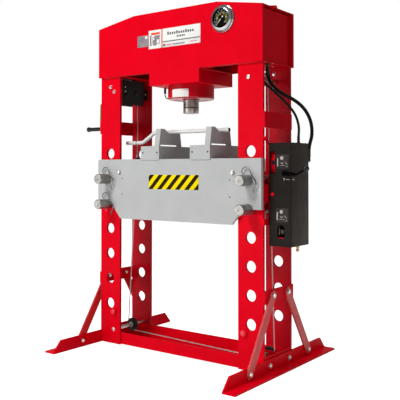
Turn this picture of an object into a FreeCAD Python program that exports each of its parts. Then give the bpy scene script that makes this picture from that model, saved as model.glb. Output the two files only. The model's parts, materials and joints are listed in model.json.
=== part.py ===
import FreeCAD, Part
import math
import os

# Hydraulic workshop press. Millimetres, +Z up, -Y to the front, origin on the floor
# under the ram. Every fit below is the real one; clearances are radial.

V = FreeCAD.Vector

# ---------------------------------------------------------------- driving sizes
RUN_FIT = 0.05            # turning and sliding fits
BOLT_FIT = 0.5            # bolts in their holes
NEAR_GAP = 0.5            # parts that move past each other without a bearing
PIN_REST_GAP = 0.3        # pin resting low in its wide post hole

# head: two profiled plates, joined by floor, cover and end panels
HEAD_PLATE_T = 16.0
HEAD_HALF_DEPTH = 164.0
HEAD_HALF_W = 584.5
HEAD_BOTTOM = 1605.0
HEAD_H = 345.0
HEAD_TOP = HEAD_BOTTOM + HEAD_H
HEAD_END_TOP = HEAD_TOP - 48.5
HEAD_CHAMFER_X = HEAD_HALF_W - 287.5
DROP_HALF_W = 178.7
DROP_BOTTOM = HEAD_BOTTOM - 77.0
SHEET_T = 8.0
COVER_T = 6.0
PANEL_OUT = HEAD_HALF_W - 16.0
PANEL_T = 6.0
LIP_T = 5.0
LUG_T = 12.0
LUG_OUT = HEAD_HALF_W - 18.5
LUG_X = (LUG_OUT - LUG_T, LUG_OUT)
LUG_TOE = -105.0
LUG_CREST = (4.0, 12.0)
LUG_REAR = 18.0
LUG_TOP = HEAD_END_TOP + 22.0
LUG_ROUND = 8.0
LUG_HOLE_R = 4.5
LUG_HOLE_EDGE = 11.0
CROWN_BOTTOM = HEAD_BOTTOM + 145.0
CROWN_T = 40.0
HOSE_STUB_R = 3.0         # steel pipe end of a hose union, through the head floor
HOSE_STUB_IN = 20.0

# posts and their holes
POST_OUT = HEAD_HALF_W - 7.5
POST_W = 155.0
POST_IN = POST_OUT - POST_W
POST_T = 15.0
POST_BOTTOM = 4.0
POST_TOP = HEAD_BOTTOM + 283.0
PIN_X = POST_OUT - 77.0
POST_HOLE_R = 31.0
HOLE_PITCH = 150.0
HOLE_LOWEST = 243.0
HOLE_COUNT = 7
PEG_X = POST_IN + 41.0
PEG_Z = 198.0
PEG_R = 14.0
PEG_LENGTH = 16.0

# side ties, base and feet
TIE_T = 10.0
UPPER_TIE_Z = (HEAD_BOTTOM - 341.0, HEAD_BOTTOM - 258.0)
UPPER_TIE_SHORT = 12.0
LOWER_TIE_Z = (356.0, 425.0)
FOOT_TIE_Z = (5.0, 85.0)
RAIL_Z = (5.0, 73.0)
RAIL_T = 8.0
RAIL_FLANGE = 75.0
FOOT_T = 10.0
FOOT_OUT = POST_OUT + 75.0
FOOT_H = 70.0
FOOT_HALF_LEN = 522.0
FOOT_TOP_HALF_LEN = FOOT_HALF_LEN - 54.0
ANCHOR_X = POST_OUT + 54.0
ANCHOR_Y = 367.0
ANCHOR_R = 7.0
STRUT_W = 50.0
STRUT_T = 10.0
STRUT_TOP = (76.0, 395.0)
STRUT_FOOT = (304.0, 39.0)
FOOT_BOLT = (100.0, 35.0)
BOLT_R = 8.0
BOLT_HEAD_R = 12.0
BOLT_HEAD_H = 8.0
NUT_H = 9.0

# bed
BED_PLATE_T = 20.0
BED_HALF_DEPTH = 171.5
BED_TOP = 1106.5
BED_HALF_W = POST_OUT + 2.5
BED_LOW_X = POST_IN - 26.0
BED_STEP_X = PIN_X - 33.0
BED_LOW_Z = 757.0
BED_ROD_X = POST_IN - 17.0
BED_ROD_Z = BED_TOP - 73.5
BED_ROD_R = 11.0
BED_SMALL_X = BED_ROD_X - 20.0
BED_SMALL_Z = (902.0, 993.0)
BED_SMALL_R = 4.0
BED_WEB_X = (140.0, BED_ROD_X - 31.0)
BED_WEB_T = 12.0
BED_WEB_Z = (792.0, 1064.0)

# lock pins and their spring clips
PIN_R = 28.5
PIN_FRONT = -260.0
PIN_BACK = 190.0
PIN_CHAMFER = 3.0
CLIP_Y = -185.0
CLIP_WIRE_R = 2.5
CLIP_HOLE_R = 3.5
BARE_PIN = "lock_pin_lower_right"     # this one has lost its clip
CLIP_ROUTE = ((0, -41), (0, -10), (0, 12), (-14, 22), (-33, 45), (-22, 66), (0, 70),
              (18, 55), (25, 31), (45, 10), (58, -14), (50, -38), (36, -50), (46, -62))

# press blocks and the pump lever bar that lies in them
BLOCK_W = 135.0
BLOCK_LEFT_X = -231.0
BLOCK_RIGHT_X = 125.0
BLOCK_H = 74.5
BLOCK_HALF_DEPTH = 176.0
BLOCK_LIP = 5.0
BLOCK_LIP_GAP = 0.5
BLOCK_HOLE_R = 4.0
BLOCK_HOLE_INSET = 15.0
BLOCK_HOLE_DEPTH = 20.0
UPRIGHT_T = 35.0
UPRIGHT_GAP = 9.0         # open seam under the upright
UPRIGHT_FOOT_L = 12.0
UPRIGHT_HEEL_L = 5.0
UPRIGHT_TOP = 1280.0
BAR_Y = -71.0
UPRIGHT_HALF_BASE = 102.0
UPRIGHT_HALF_TOP = 87.0
HORN = 33.0
NOTCH_HALF_FLAT = 6.5
NOTCH_Z = 1253.0
BAR_R = 11.0
BAR_RIGHT = 317.0
BAR_BEND = -215.0
BAR_LOW_X = -306.0
BAR_LOW_Z = 1207.0
BAR_LEFT = -436.0
BAR_RING_X = -351.0
BAR_CAP = 27.0

# cylinder
BARREL_R = 134.0
BORE_R = 100.0
BARREL_BOTTOM = DROP_BOTTOM - 77.0
BARREL_CLOSED = 15.0
GLAND_H = 27.0
RAM_R = 47.0
RAM_BOTTOM = BARREL_BOTTOM - 80.0
RAM_GROOVE_Z = RAM_BOTTOM + 33.0
RAM_NECK_R = 30.0
PISTON_Z = (CROWN_BOTTOM - 62.0, CROWN_BOTTOM - 22.0)

# gauge
GAUGE_X = HEAD_HALF_W - 247.5
GAUGE_Z = HEAD_TOP - 98.0
GAUGE_R = 75.0
GAUGE_CASE_R = 57.0
GAUGE_HOLE_R = 60.0
GAUGE_FACE = -188.0
DIAL_R = 54.0
WINDOW_R = 50.0
NEEDLE_LEN = 40.0
NEEDLE_TAIL = 14.0
SPINDLE_R = 1.6
NEEDLE_REST = 225.0       # needle angle at zero, counter-clockwise from +X seen from the front

# pump box, its sockets and valve
BOX_W = 132.0
BOX_LEFT = POST_OUT + 13.0
BOX_X = (BOX_LEFT, BOX_LEFT + BOX_W)
BOX_Y = (-115.0, 70.0)
BOX_Z = (655.0, 1183.0)
BOX_T = 3.0
BOX_EDGE = 5.0
SLOT_X = (BOX_LEFT + 8.0, BOX_LEFT + 37.0)
SLOT_Z = (1025.0, 1141.0)
PORT_X = (BOX_LEFT + 50.0, BOX_LEFT + 93.0)
PORT_Z = (695.0, 764.0)
PUMP_WALL_Y = -20.0
SOCKET_PIVOT_Y = -46.0
SOCKET_R = 13.0
SOCKET_FIT = 0.2
SOCKET_BORE_DEPTH = 42.0
CHEEK_GAP = 1.0
CHEEK_T = 3.5
SOCKET_IN = 11.0         # the mouth lies this far behind the box front
SOCKET_PIN_R = 6.0
SOCKET_SWING = 14.0
VALVE_X = BOX_LEFT + 96.0
VALVE_Z = 1028.0
VALVE_SPINDLE_R = 6.0
VALVE_HUB_R = 13.0
VALVE_ELBOW = (VALVE_X + 71.0, -127.0, VALVE_Z - 6.0)
VALVE_KNOB = (VALVE_X + 129.0, -135.0, VALVE_Z + 24.0)
VALVE_KNOB_R = 15.0
VALVE_ARM_R = 5.5
VALVE_ELBOW_R = 7.0
DRAIN = (BOX_LEFT + 100.0, 7.0)
DRAIN_H = 34.0
BRACKET_T = 6.0
BRACKET_Z = (BOX_Z[0] + 106.0, BOX_Z[1] - 168.0)
BRACKET_FRONT = -98.0
BRACKET_TABS_Z = ((BRACKET_Z[0], BRACKET_Z[0] + 32.0), (BRACKET_Z[0] + 119.0, BRACKET_Z[0] + 209.0))
STRAP_Y = (-146.0, -106.0)
STRAP_Z = (BOX_Z[1] + 27.0, BOX_Z[1] - 6.0)
STRAP_H = 8.0
BRACKET_RAILS_Y = ((-95.0, -75.0), (35.0, 55.0))
BRACKET_RAIL_LOW = BRACKET_Z[0]
PUMP_WALL_TOP = BOX_Z[1] - 23.0

# winch: drum and pinion shaft on parallel axes, meshed by spur gears
WINCH_X = (28.0 - POST_OUT, 122.0 - POST_OUT)
WINCH_Y = (-127.0, 103.0)
WINCH_Z = (HEAD_BOTTOM - 159.0, HEAD_BOTTOM - 14.0)
WINCH_T = 4.0
DRUM_AXIS = (30.0, WINCH_Z[0] + 74.0)
GEAR_MODULE = 3.0
GEAR_TEETH = 40
PINION_TEETH = 20
GEAR_DY = -88.0
GEAR_T = 10.0
GEAR_BACKLASH = 0.35
DRUM_CORE_R = 63.5
DRUM_FLANGE_R = 70.0
SHAFT_R = 9.0
CRANK_X = -17.0 - POST_OUT
CRANK_T = 7.0
CRANK_W = 24.0
CRANK_KNEE = (-122.0, DRUM_AXIS[1] - 82.0)
CRANK_END = (-125.0, DRUM_AXIS[1] - 224.0)
GRIP_END = CRANK_X - 125.0
GRIP_R = 12.0
GRIP_BALL_R = 16.0
GRIP_SPINDLE_R = 5.0
WINCH_BULGE = (-44.0, 45.0, 54.0)    # y, height over the plate's foot and radius
WINCH_BOLT_R = 5.0
WINCH_BOLT_HEAD_R = 9.8
WINCH_BOLTS = ((WINCH_X[0] + 49.0, DRUM_AXIS[1] + 26.0), (WINCH_X[0] + 80.0, DRUM_AXIS[1] - 4.0))
WINCH_TAB_X = (WINCH_X[1] - 27.0, WINCH_X[1] + 7.0)
WINCH_TAB_Z = (DRUM_AXIS[1] - 36.0, DRUM_AXIS[1] + 31.0)
WINCH_TAB_HEAD_R = 7.0
WINCH_TAB_BOLTS = ((WINCH_X[1] - 17.0, DRUM_AXIS[1] + 19.0),
                   (WINCH_X[1] - 11.5, DRUM_AXIS[1] - 8.0))

# ropes and pulleys
ROPE_R = 3.0
ROPE_PITCH_R = 33.0
PULLEY_RIM_R = 38.0
PULLEY_W = 16.0
AXLE_R = 10.0
COLLAR_R = 16.0
COLLAR_W = 8.0
PULLEY_LOW_LEFT = (29.0 - PIN_X, 20.0, 90.0)
PULLEY_LOW_RIGHT = (PIN_X + 26.0, -8.0, 72.0)
PULLEY_TOP = (PIN_X - 12.0, -8.0, HEAD_BOTTOM - 74.0)
ROPE_LEFT_END_Y = -20.0
ROPE_EYE_W = 12.0
ROPE_ARM_END = 8.0
LIFT_X = -PIN_X
LIFT_ARM = (-20.0 - PIN_X, BED_TOP - 20.5, BED_TOP + 5.5)
LIFT_ARM_T = 12.0
ROPE_SOCKET_R = 8.0
ROPE_SOCKET_L = 28.0

# hoses: runs through these points, joined by tangent arcs
PRESSURE_HOSE_R = 9.25
RETURN_HOSE_R = 6.5
PRESSURE_ROUTE = ((POST_OUT - 19, -70, HEAD_BOTTOM - 20),
                  (POST_OUT - 19, -70, HEAD_BOTTOM - 67),
                  (POST_OUT - 2, -60, HEAD_BOTTOM - 115),
                  (POST_OUT + 35, -25, HEAD_BOTTOM - 157),
                  (POST_OUT + 78, 35, HEAD_BOTTOM - 187),
                  (POST_OUT + 113, 90, BOX_Z[1] + 189),
                  (POST_OUT + 132, 128, BOX_Z[1] + 122),
                  (POST_OUT + 135, 134, BOX_Z[1] + 47),
                  (POST_OUT + 131, 100, BOX_Z[1] - 15),
                  (POST_OUT + 131, 100, BOX_Z[1] - 65))
RETURN_ROUTE = ((POST_OUT - 41, -104, HEAD_BOTTOM - 15),
                (POST_OUT - 41, -104, HEAD_BOTTOM - 60),
                (POST_OUT - 34, -102, HEAD_BOTTOM - 92),
                (POST_OUT - 7, -88, HEAD_BOTTOM - 122),
                (POST_OUT + 35, -55, HEAD_BOTTOM - 168),
                (POST_OUT + 75, -20, BOX_Z[1] + 202),
                (POST_OUT + 107, 3, BOX_Z[1] + 150),
                (POST_OUT + 122, 12, BOX_Z[1] + 87),
                (POST_OUT + 116, 15, BOX_Z[1] + 39),
                (POST_OUT + 116, 15, BOX_Z[1] + 7))
CORNER_SHARE = 0.45
UNION_WALL = 2.5          # a hose union's nut over the hose
ELBOW_R = 10.0
ELBOW_DROP = 22.0
BOX_UNION_R = 9.0
BOX_HOLE_R = 6.0

# bleed connector beside the drop, with its thin tube to the cylinder
BLEED_X = -DROP_HALF_W - 16.3
BLEED_Z = (DROP_BOTTOM - 28.0, DROP_BOTTOM + 12.0)
BLEED_BODY_R = 7.0
BLEED_STUB_R = 5.0
BLEED_STUB_UP = 4.0
BLEED_TUBE_R = 3.0
BLEED_END_Z = BARREL_BOTTOM + 22.0

# bare plates: (low, high) X and Z on the head, half width and Z on the bed
NAME_PLATE_T = 1.5
NAME_PLATE_X = (-183.0, 190.0)
NAME_PLATE_Z = (HEAD_TOP - 210.0, HEAD_TOP - 102.0)
SMALL_PLATE_X = (-268.0, -186.0)
SMALL_PLATE_Z = (HEAD_TOP - 192.0, HEAD_TOP - 126.0)
STRIPE_T = 1.0
STRIPE_HALF_W = 176.5
STRIPE_Z = (BED_TOP - 168.0, BED_TOP - 93.0)

# ---------------------------------------------------------------- derived sizes
HEAD_INNER = HEAD_HALF_DEPTH - HEAD_PLATE_T
POST_FRONT = HEAD_INNER
POST_BACK = POST_FRONT - POST_T
BED_INNER = BED_HALF_DEPTH - BED_PLATE_T
PIN_DROP = POST_HOLE_R - PIN_R - PIN_REST_GAP
HOLE_Z = [HOLE_LOWEST + HOLE_PITCH * i for i in range(HOLE_COUNT)]
PIN_LOW_Z = HOLE_Z[4] - PIN_DROP
PIN_HIGH_Z = HOLE_Z[5] - PIN_DROP
BLOCK_TOP = BED_TOP + BLOCK_H
UPRIGHT_BOTTOM = BLOCK_TOP + UPRIGHT_GAP
BAR_Z = NOTCH_Z + BAR_R
GEAR_R = GEAR_MODULE * GEAR_TEETH / 2
PINION_R = GEAR_MODULE * PINION_TEETH / 2
GEAR_DZ = -math.sqrt((GEAR_R + PINION_R) ** 2 - GEAR_DY ** 2)
CRANK_AXIS = (DRUM_AXIS[0] + GEAR_DY, DRUM_AXIS[1] + GEAR_DZ)
DRUM_ROPE_R = DRUM_CORE_R + ROPE_R + NEAR_GAP
GROOVE_R = ROPE_PITCH_R - ROPE_R - NEAR_GAP
CYL_SEAT_R = BARREL_R + BOLT_FIT
DIAL_BACK = -HEAD_HALF_DEPTH - 9.0
DRAIN_LOW = BOX_Z[0] - DRAIN_H
SOCKETS = {"pump_socket_upper": (sum(SLOT_X) / 2, sum(SLOT_Z) / 2),
           "pump_socket_lower": (sum(PORT_X) / 2, sum(PORT_Z) / 2)}


# ---------------------------------------------------------------- shape helpers
def block(x, y, z):
    """Box from three (low, high) pairs."""
    corner = V(min(x), min(y), min(z))
    return Part.makeBox(abs(x[1] - x[0]), abs(y[1] - y[0]), abs(z[1] - z[0]), corner)


def rod(start, end, radius):
    """Round bar between two points."""
    a = V(*start)
    b = V(*end)
    return Part.makeCylinder(radius, (b - a).Length, a, b - a)


def rod_y(x, z, y, radius):
    return rod((x, y[0], z), (x, y[1], z), radius)


def rod_x(y, z, x, radius):
    return rod((x[0], y, z), (x[1], y, z), radius)


def rod_z(x, y, z, radius):
    return rod((x, y, z[0]), (x, y, z[1]), radius)


def prism(points, step):
    """Flat outline swept straight along step."""
    corners = [V(*p) for p in points]
    wire = Part.makePolygon(corners + corners[:1])
    return Part.Face(wire).extrude(V(*step))


def plate_xz(points, y):
    return prism([(x, y[0], z) for x, z in points], (0, y[1] - y[0], 0))


def plate_yz(points, x):
    return prism([(x[0], y, z) for y, z in points], (x[1] - x[0], 0, 0))


def plate_xy(points, z):
    return prism([(x, y, z[0]) for x, y in points], (0, 0, z[1] - z[0]))


def turned(profile, base, axis):
    """Closed (radius, height) outline turned about axis, heights from base."""
    corners = [V(r, 0, h) for r, h in profile]
    wire = Part.makePolygon(corners + corners[:1])
    solid = Part.Face(wire).revolve(V(0, 0, 0), V(0, 0, 1), 360)
    turn = FreeCAD.Rotation(V(0, 0, 1), V(*axis))
    solid.Placement = FreeCAD.Placement(V(*base), turn)
    return solid


def joined(shapes):
    shapes = list(shapes)
    result = shapes[0]
    if len(shapes) > 1:
        result = result.fuse(shapes[1:])
    return result.removeSplitter()


def less(shape, cutters):
    return shape.cut(list(cutters))


def mirrored(shape):
    """The same piece on the other side of the press, left for right."""
    return shape.mirror(V(0, 0, 0), V(1, 0, 0))


def rear(shape):
    """The same piece at the back, front for rear."""
    return shape.mirror(V(0, 0, 0), V(0, 1, 0))


def group(shapes):
    solids = []
    for shape in shapes:
        solids.extend(shape.Solids)
    return solids[0] if len(solids) == 1 else Part.makeCompound(solids)


def pipe(wire, start, along, radius, corners=0):
    circle = Part.Wire([Part.makeCircle(radius, V(*start), V(*along))])
    return wire.makePipeShell([circle], True, False, corners)


def corner_arc(before, corner, after):
    """Tangent points and mid point of the arc that rounds one corner."""
    back = before - corner
    ahead = after - corner
    shorter = min(back.Length, ahead.Length)
    back.normalize()
    ahead.normalize()
    half_open = back.getAngle(ahead) / 2
    reach = CORNER_SHARE * shorter
    radius = reach * math.tan(half_open)
    middle = back + ahead
    middle.normalize()
    to_centre = reach / math.cos(half_open)
    mid = corner + middle * (to_centre - radius)
    return corner + back * reach, mid, corner + ahead * reach, radius


def hose(route, radius, name):
    """Round hose of straight runs joined by tangent arcs."""
    points = [V(*p) for p in route]
    edges = []
    here = points[0]
    radii = []
    for i in range(1, len(points) - 1):
        start, mid, end, bend = corner_arc(points[i - 1], points[i], points[i + 1])
        edges.append(Part.makeLine(here, start))
        edges.append(Part.Arc(start, mid, end).toShape())
        radii.append(round(bend))
        here = end
    edges.append(Part.makeLine(here, points[-1]))
    length = sum(edge.Length for edge in edges)
    print(name, "length", round(length), "tightest bend", min(radii), "bends", radii)
    along = points[1] - points[0]
    return pipe(Part.Wire(edges), route[0], tuple(along), radius)


def hex_bolt(at, axis, grip, radius=BOLT_R, head=BOLT_HEAD_R):
    """Hexagon head outside, shank through the grip, nut behind."""
    a = V(*at)
    d = V(*axis)
    d.normalize()
    turn = FreeCAD.Rotation(V(0, 0, 1), d)
    pieces = []
    for start, end in ((-BOLT_HEAD_H, 0), (grip, grip + NUT_H)):
        ring = [V(head * math.cos(math.radians(60 * i)), head * math.sin(math.radians(60 * i)),
                  start) for i in range(6)]
        hexagon = Part.Face(Part.makePolygon(ring + ring[:1])).extrude(V(0, 0, end - start))
        hexagon.Placement = FreeCAD.Placement(a, turn)
        pieces.append(hexagon)
    pieces.append(Part.makeCylinder(radius, grip, a, d))
    return joined(pieces)


# ---------------------------------------------------------------- head
def head_outline():
    return [(-HEAD_HALF_W, HEAD_BOTTOM), (-DROP_HALF_W, HEAD_BOTTOM),
            (-DROP_HALF_W, DROP_BOTTOM), (DROP_HALF_W, DROP_BOTTOM),
            (DROP_HALF_W, HEAD_BOTTOM), (HEAD_HALF_W, HEAD_BOTTOM),
            (HEAD_HALF_W, HEAD_END_TOP), (HEAD_CHAMFER_X, HEAD_TOP),
            (-HEAD_CHAMFER_X, HEAD_TOP), (-HEAD_HALF_W, HEAD_END_TOP)]


def head_front_plate():
    plate = plate_xz(head_outline(), (-HEAD_HALF_DEPTH, -HEAD_INNER))
    hole = rod_y(GAUGE_X, GAUGE_Z, (-HEAD_HALF_DEPTH - 1, -HEAD_INNER + 1), GAUGE_HOLE_R)
    return less(plate, [hole])


def head_rear_plate():
    return plate_xz(head_outline(), (HEAD_INNER, HEAD_HALF_DEPTH))


def head_end_panels():
    width = (-POST_BACK, POST_BACK)
    panel = block((PANEL_OUT - PANEL_T, PANEL_OUT), width, (HEAD_BOTTOM, POST_TOP))
    lip = block((PANEL_OUT, HEAD_HALF_W), width, (HEAD_BOTTOM, HEAD_BOTTOM + LIP_T))
    right = joined([panel, lip])
    return group([right, mirrored(right)])


def head_top_cover():
    outer = [(-HEAD_HALF_W, HEAD_END_TOP), (-HEAD_CHAMFER_X, HEAD_TOP),
             (HEAD_CHAMFER_X, HEAD_TOP), (HEAD_HALF_W, HEAD_END_TOP)]
    inner = [(x, z - COVER_T) for x, z in reversed(outer)]
    return plate_xz(outer + inner, (-HEAD_INNER, HEAD_INNER))


def lifting_lugs():
    """Wedge rib along each end of the head, with a lifting hole under its crest."""
    outline = [(LUG_TOE, HEAD_END_TOP), (LUG_CREST[0], LUG_TOP), (LUG_CREST[1], LUG_TOP),
               (LUG_REAR, LUG_TOP - LUG_ROUND), (LUG_REAR, HEAD_END_TOP)]
    hole = rod_x(LUG_CREST[0] - LUG_HOLE_R, LUG_TOP - LUG_HOLE_EDGE,
                 (LUG_X[0] - 1, LUG_X[1] + 1), LUG_HOLE_R)
    below = [(-HEAD_HALF_W, HEAD_BOTTOM), (-HEAD_HALF_W, HEAD_END_TOP),
             (-HEAD_CHAMFER_X, HEAD_TOP), (HEAD_CHAMFER_X, HEAD_TOP),
             (HEAD_HALF_W, HEAD_END_TOP), (HEAD_HALF_W, HEAD_BOTTOM)]
    under = plate_xz(below, (-HEAD_HALF_DEPTH, HEAD_HALF_DEPTH))
    right = less(plate_yz(outline, LUG_X), [under, hole])
    return group([right, mirrored(right)])


def head_floor():
    """Floor, drop sides and drop bottom of the head, welded into one."""
    floor_z = (HEAD_BOTTOM, HEAD_BOTTOM + SHEET_T)
    wide = [(DROP_HALF_W, -HEAD_INNER), (POST_IN, -HEAD_INNER), (POST_IN, -POST_BACK),
            (PANEL_OUT - PANEL_T, -POST_BACK), (PANEL_OUT - PANEL_T, POST_BACK),
            (POST_IN, POST_BACK), (POST_IN, HEAD_INNER), (DROP_HALF_W, HEAD_INNER)]
    floor = plate_xy(wide, floor_z)
    side = block((DROP_HALF_W - SHEET_T, DROP_HALF_W), (-HEAD_INNER, HEAD_INNER),
                 (DROP_BOTTOM, HEAD_BOTTOM + SHEET_T))
    bottom = block((-DROP_HALF_W, DROP_HALF_W), (-HEAD_INNER, HEAD_INNER),
                   (DROP_BOTTOM, DROP_BOTTOM + SHEET_T))
    shell = joined([floor, side, mirrored(floor), mirrored(side), bottom])
    hole = rod_z(0, 0, (DROP_BOTTOM - 1, DROP_BOTTOM + SHEET_T + 1), CYL_SEAT_R)
    fittings = [rod_z(route[0][0], route[0][1], (HEAD_BOTTOM - 1, HEAD_BOTTOM + SHEET_T + 1),
                      HOSE_STUB_R + RUN_FIT) for route in (PRESSURE_ROUTE, RETURN_ROUTE)]
    return less(shell, [hole] + fittings)


def crown_plate():
    """Thick seat in the head that the cylinder pushes up against."""
    return block((-DROP_HALF_W, DROP_HALF_W), (-HEAD_INNER, HEAD_INNER),
                 (CROWN_BOTTOM, CROWN_BOTTOM + CROWN_T))


# ---------------------------------------------------------------- frame
def post(side, cutters):
    """One front post: flat bar with its row of pin holes and a stop peg."""
    y = (-POST_FRONT, -POST_BACK)
    bar = block((side * POST_IN, side * POST_OUT), y, (POST_BOTTOM, POST_TOP))
    through = (y[0] - 1, y[1] + 1)
    holes = [rod_y(side * PIN_X, z, through, POST_HOLE_R) for z in HOLE_Z]
    peg = rod_y(side * PEG_X, PEG_Z, (y[0] - PEG_LENGTH, y[0]), PEG_R)
    return joined([less(bar, holes + cutters), peg])


def axle_hole(pulley):
    return rod_y(pulley[0], pulley[2], (-POST_FRONT - 1, -POST_BACK + 1), AXLE_R + BOLT_FIT)


def bolt_holes(places, y):
    return [rod_y(x, z, y, WINCH_BOLT_R + BOLT_FIT) for x, z in places]


def front_posts():
    y = (-POST_FRONT - 1, -POST_BACK + 1)
    left = post(-1, [axle_hole(PULLEY_LOW_LEFT)] + bolt_holes(WINCH_BOLTS, y))
    right = post(1, [axle_hole(PULLEY_TOP)])
    return group([left, right])


def rear_post(side, cutters):
    y = (POST_BACK, POST_FRONT)
    bar = block((side * POST_IN, side * POST_OUT), y, (POST_BOTTOM, POST_TOP))
    holes = [rod_y(side * PIN_X, z, (y[0] - 1, y[1] + 1), POST_HOLE_R) for z in HOLE_Z]
    return less(bar, holes + cutters)


def rear_posts():
    y = (POST_BACK - 1, POST_FRONT + 1)
    left = rear_post(-1, [rear(axle_hole(PULLEY_LOW_LEFT))] + bolt_holes(WINCH_TAB_BOLTS, y))
    right = rear_post(1, [rear(axle_hole(PULLEY_TOP))])
    return group([left, right])


def side_ties(z, rear_end, bolt_at=None):
    bar = block((POST_OUT, POST_OUT + TIE_T), (-POST_FRONT, rear_end), z)
    if bolt_at:
        x = (POST_OUT - 1, POST_OUT + TIE_T + 1)
        bar = less(bar, [rod_x(s * bolt_at[0], bolt_at[1], x, BOLT_R + BOLT_FIT)
                         for s in (-1, 1)])
    return group([bar, mirrored(bar)])


def foot_ties():
    """Plates between the posts at the floor; the feet bolt to them."""
    x = (POST_OUT - TIE_T, POST_OUT)
    plate = block(x, (-POST_BACK, POST_BACK), FOOT_TIE_Z)
    through = (x[0] - 1, x[1] + 1)
    holes = [rod_x(s * FOOT_BOLT[0], FOOT_BOLT[1], through, BOLT_R + BOLT_FIT) for s in (-1, 1)]
    plate = less(plate, holes)
    return group([plate, mirrored(plate)])


def base_rail():
    """Front angle between the posts' backs; its flange points inward."""
    half = POST_OUT - TIE_T
    leg = block((-half, half), (-POST_BACK, -POST_BACK + RAIL_T), RAIL_Z)
    flange = block((-half, half), (-POST_BACK, -POST_BACK + RAIL_FLANGE),
                   (RAIL_Z[0], RAIL_Z[0] + RAIL_T))
    return joined([leg, flange])


def foot():
    """Right foot: angle bar with sloped leg ends and anchor holes."""
    x_leg = (POST_OUT, POST_OUT + FOOT_T)
    outline = [(-FOOT_HALF_LEN, 0), (FOOT_HALF_LEN, 0), (FOOT_HALF_LEN, FOOT_T),
               (FOOT_TOP_HALF_LEN, FOOT_H), (-FOOT_TOP_HALF_LEN, FOOT_H),
               (-FOOT_HALF_LEN, FOOT_T)]
    leg = plate_yz(outline, x_leg)
    flange = block((POST_OUT, FOOT_OUT), (-FOOT_HALF_LEN, FOOT_HALF_LEN), (0, FOOT_T))
    cutters = [rod_z(ANCHOR_X, s * ANCHOR_Y, (-1, FOOT_T + 1), ANCHOR_R) for s in (-1, 1)]
    through = (x_leg[0] - 1, x_leg[1] + 1)
    for s in (-1, 1):
        for y, z in (STRUT_FOOT, FOOT_BOLT):
            cutters.append(rod_x(s * y, z, through, BOLT_R + BOLT_FIT))
    return less(joined([leg, flange]), cutters)


def strut(side):
    """Flat stay from the lower side tie down to the foot, round ended."""
    x = (POST_OUT + TIE_T, POST_OUT + TIE_T + STRUT_T)
    top = (side * STRUT_TOP[0], STRUT_TOP[1])
    low = (side * STRUT_FOOT[0], STRUT_FOOT[1])
    length = math.hypot(low[0] - top[0], low[1] - top[1])
    ny = (low[1] - top[1]) / length * STRUT_W / 2
    nz = -(low[0] - top[0]) / length * STRUT_W / 2
    outline = [(top[0] + ny, top[1] + nz), (low[0] + ny, low[1] + nz),
               (low[0] - ny, low[1] - nz), (top[0] - ny, top[1] - nz)]
    ends = [rod_x(y, z, x, STRUT_W / 2) for y, z in (top, low)]
    holes = [rod_x(y, z, (x[0] - 1, x[1] + 1), BOLT_R + BOLT_FIT) for y, z in (top, low)]
    return less(joined([plate_yz(outline, x)] + ends), holes)


def foot_struts():
    right = [strut(1), strut(-1)]
    return group(right + [mirrored(s) for s in right])


def frame_bolts():
    bolts = []
    outer = POST_OUT + TIE_T + STRUT_T
    for s in (-1, 1):
        bolts.append(hex_bolt((outer, s * STRUT_TOP[0], STRUT_TOP[1]), (-1, 0, 0),
                              TIE_T + STRUT_T))
        bolts.append(hex_bolt((outer, s * STRUT_FOOT[0], STRUT_FOOT[1]), (-1, 0, 0),
                              FOOT_T + STRUT_T))
        bolts.append(hex_bolt((POST_OUT + FOOT_T, s * FOOT_BOLT[0], FOOT_BOLT[1]), (-1, 0, 0),
                              FOOT_T + TIE_T))
    bolts += [mirrored(b) for b in bolts]
    for x, z in WINCH_BOLTS:
        bolts.append(hex_bolt((x, -POST_FRONT, z), (0, 1, 0), POST_T + BRACKET_T,
                              radius=WINCH_BOLT_R, head=WINCH_BOLT_HEAD_R))
    for x, z in WINCH_TAB_BOLTS:
        bolts.append(hex_bolt((x, POST_BACK - BRACKET_T, z), (0, 1, 0), POST_T + BRACKET_T,
                              radius=WINCH_BOLT_R, head=WINCH_TAB_HEAD_R))
    return group(bolts)


# ---------------------------------------------------------------- bed
def bed_outline():
    right = [(BED_HALF_W, BED_TOP), (BED_HALF_W, PIN_LOW_Z), (BED_STEP_X, PIN_LOW_Z),
             (BED_LOW_X, BED_LOW_Z)]
    left = [(-x, z) for x, z in reversed(right)]
    return right + left


def bed_front_plate():
    y = (-BED_HALF_DEPTH, -BED_INNER)
    plate = plate_xz(bed_outline(), y)
    through = (y[0] - 1, y[1] + 1)
    cutters = []
    for s in (-1, 1):
        for z in (PIN_LOW_Z, PIN_HIGH_Z):
            cutters.append(rod_y(s * PIN_X, z, through, PIN_R + RUN_FIT))
        cutters.append(rod_y(s * BED_ROD_X, BED_ROD_Z, through, BED_ROD_R))
        for z in BED_SMALL_Z:
            cutters.append(rod_y(s * BED_SMALL_X, z, through, BED_SMALL_R))
    return less(plate, cutters)


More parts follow.
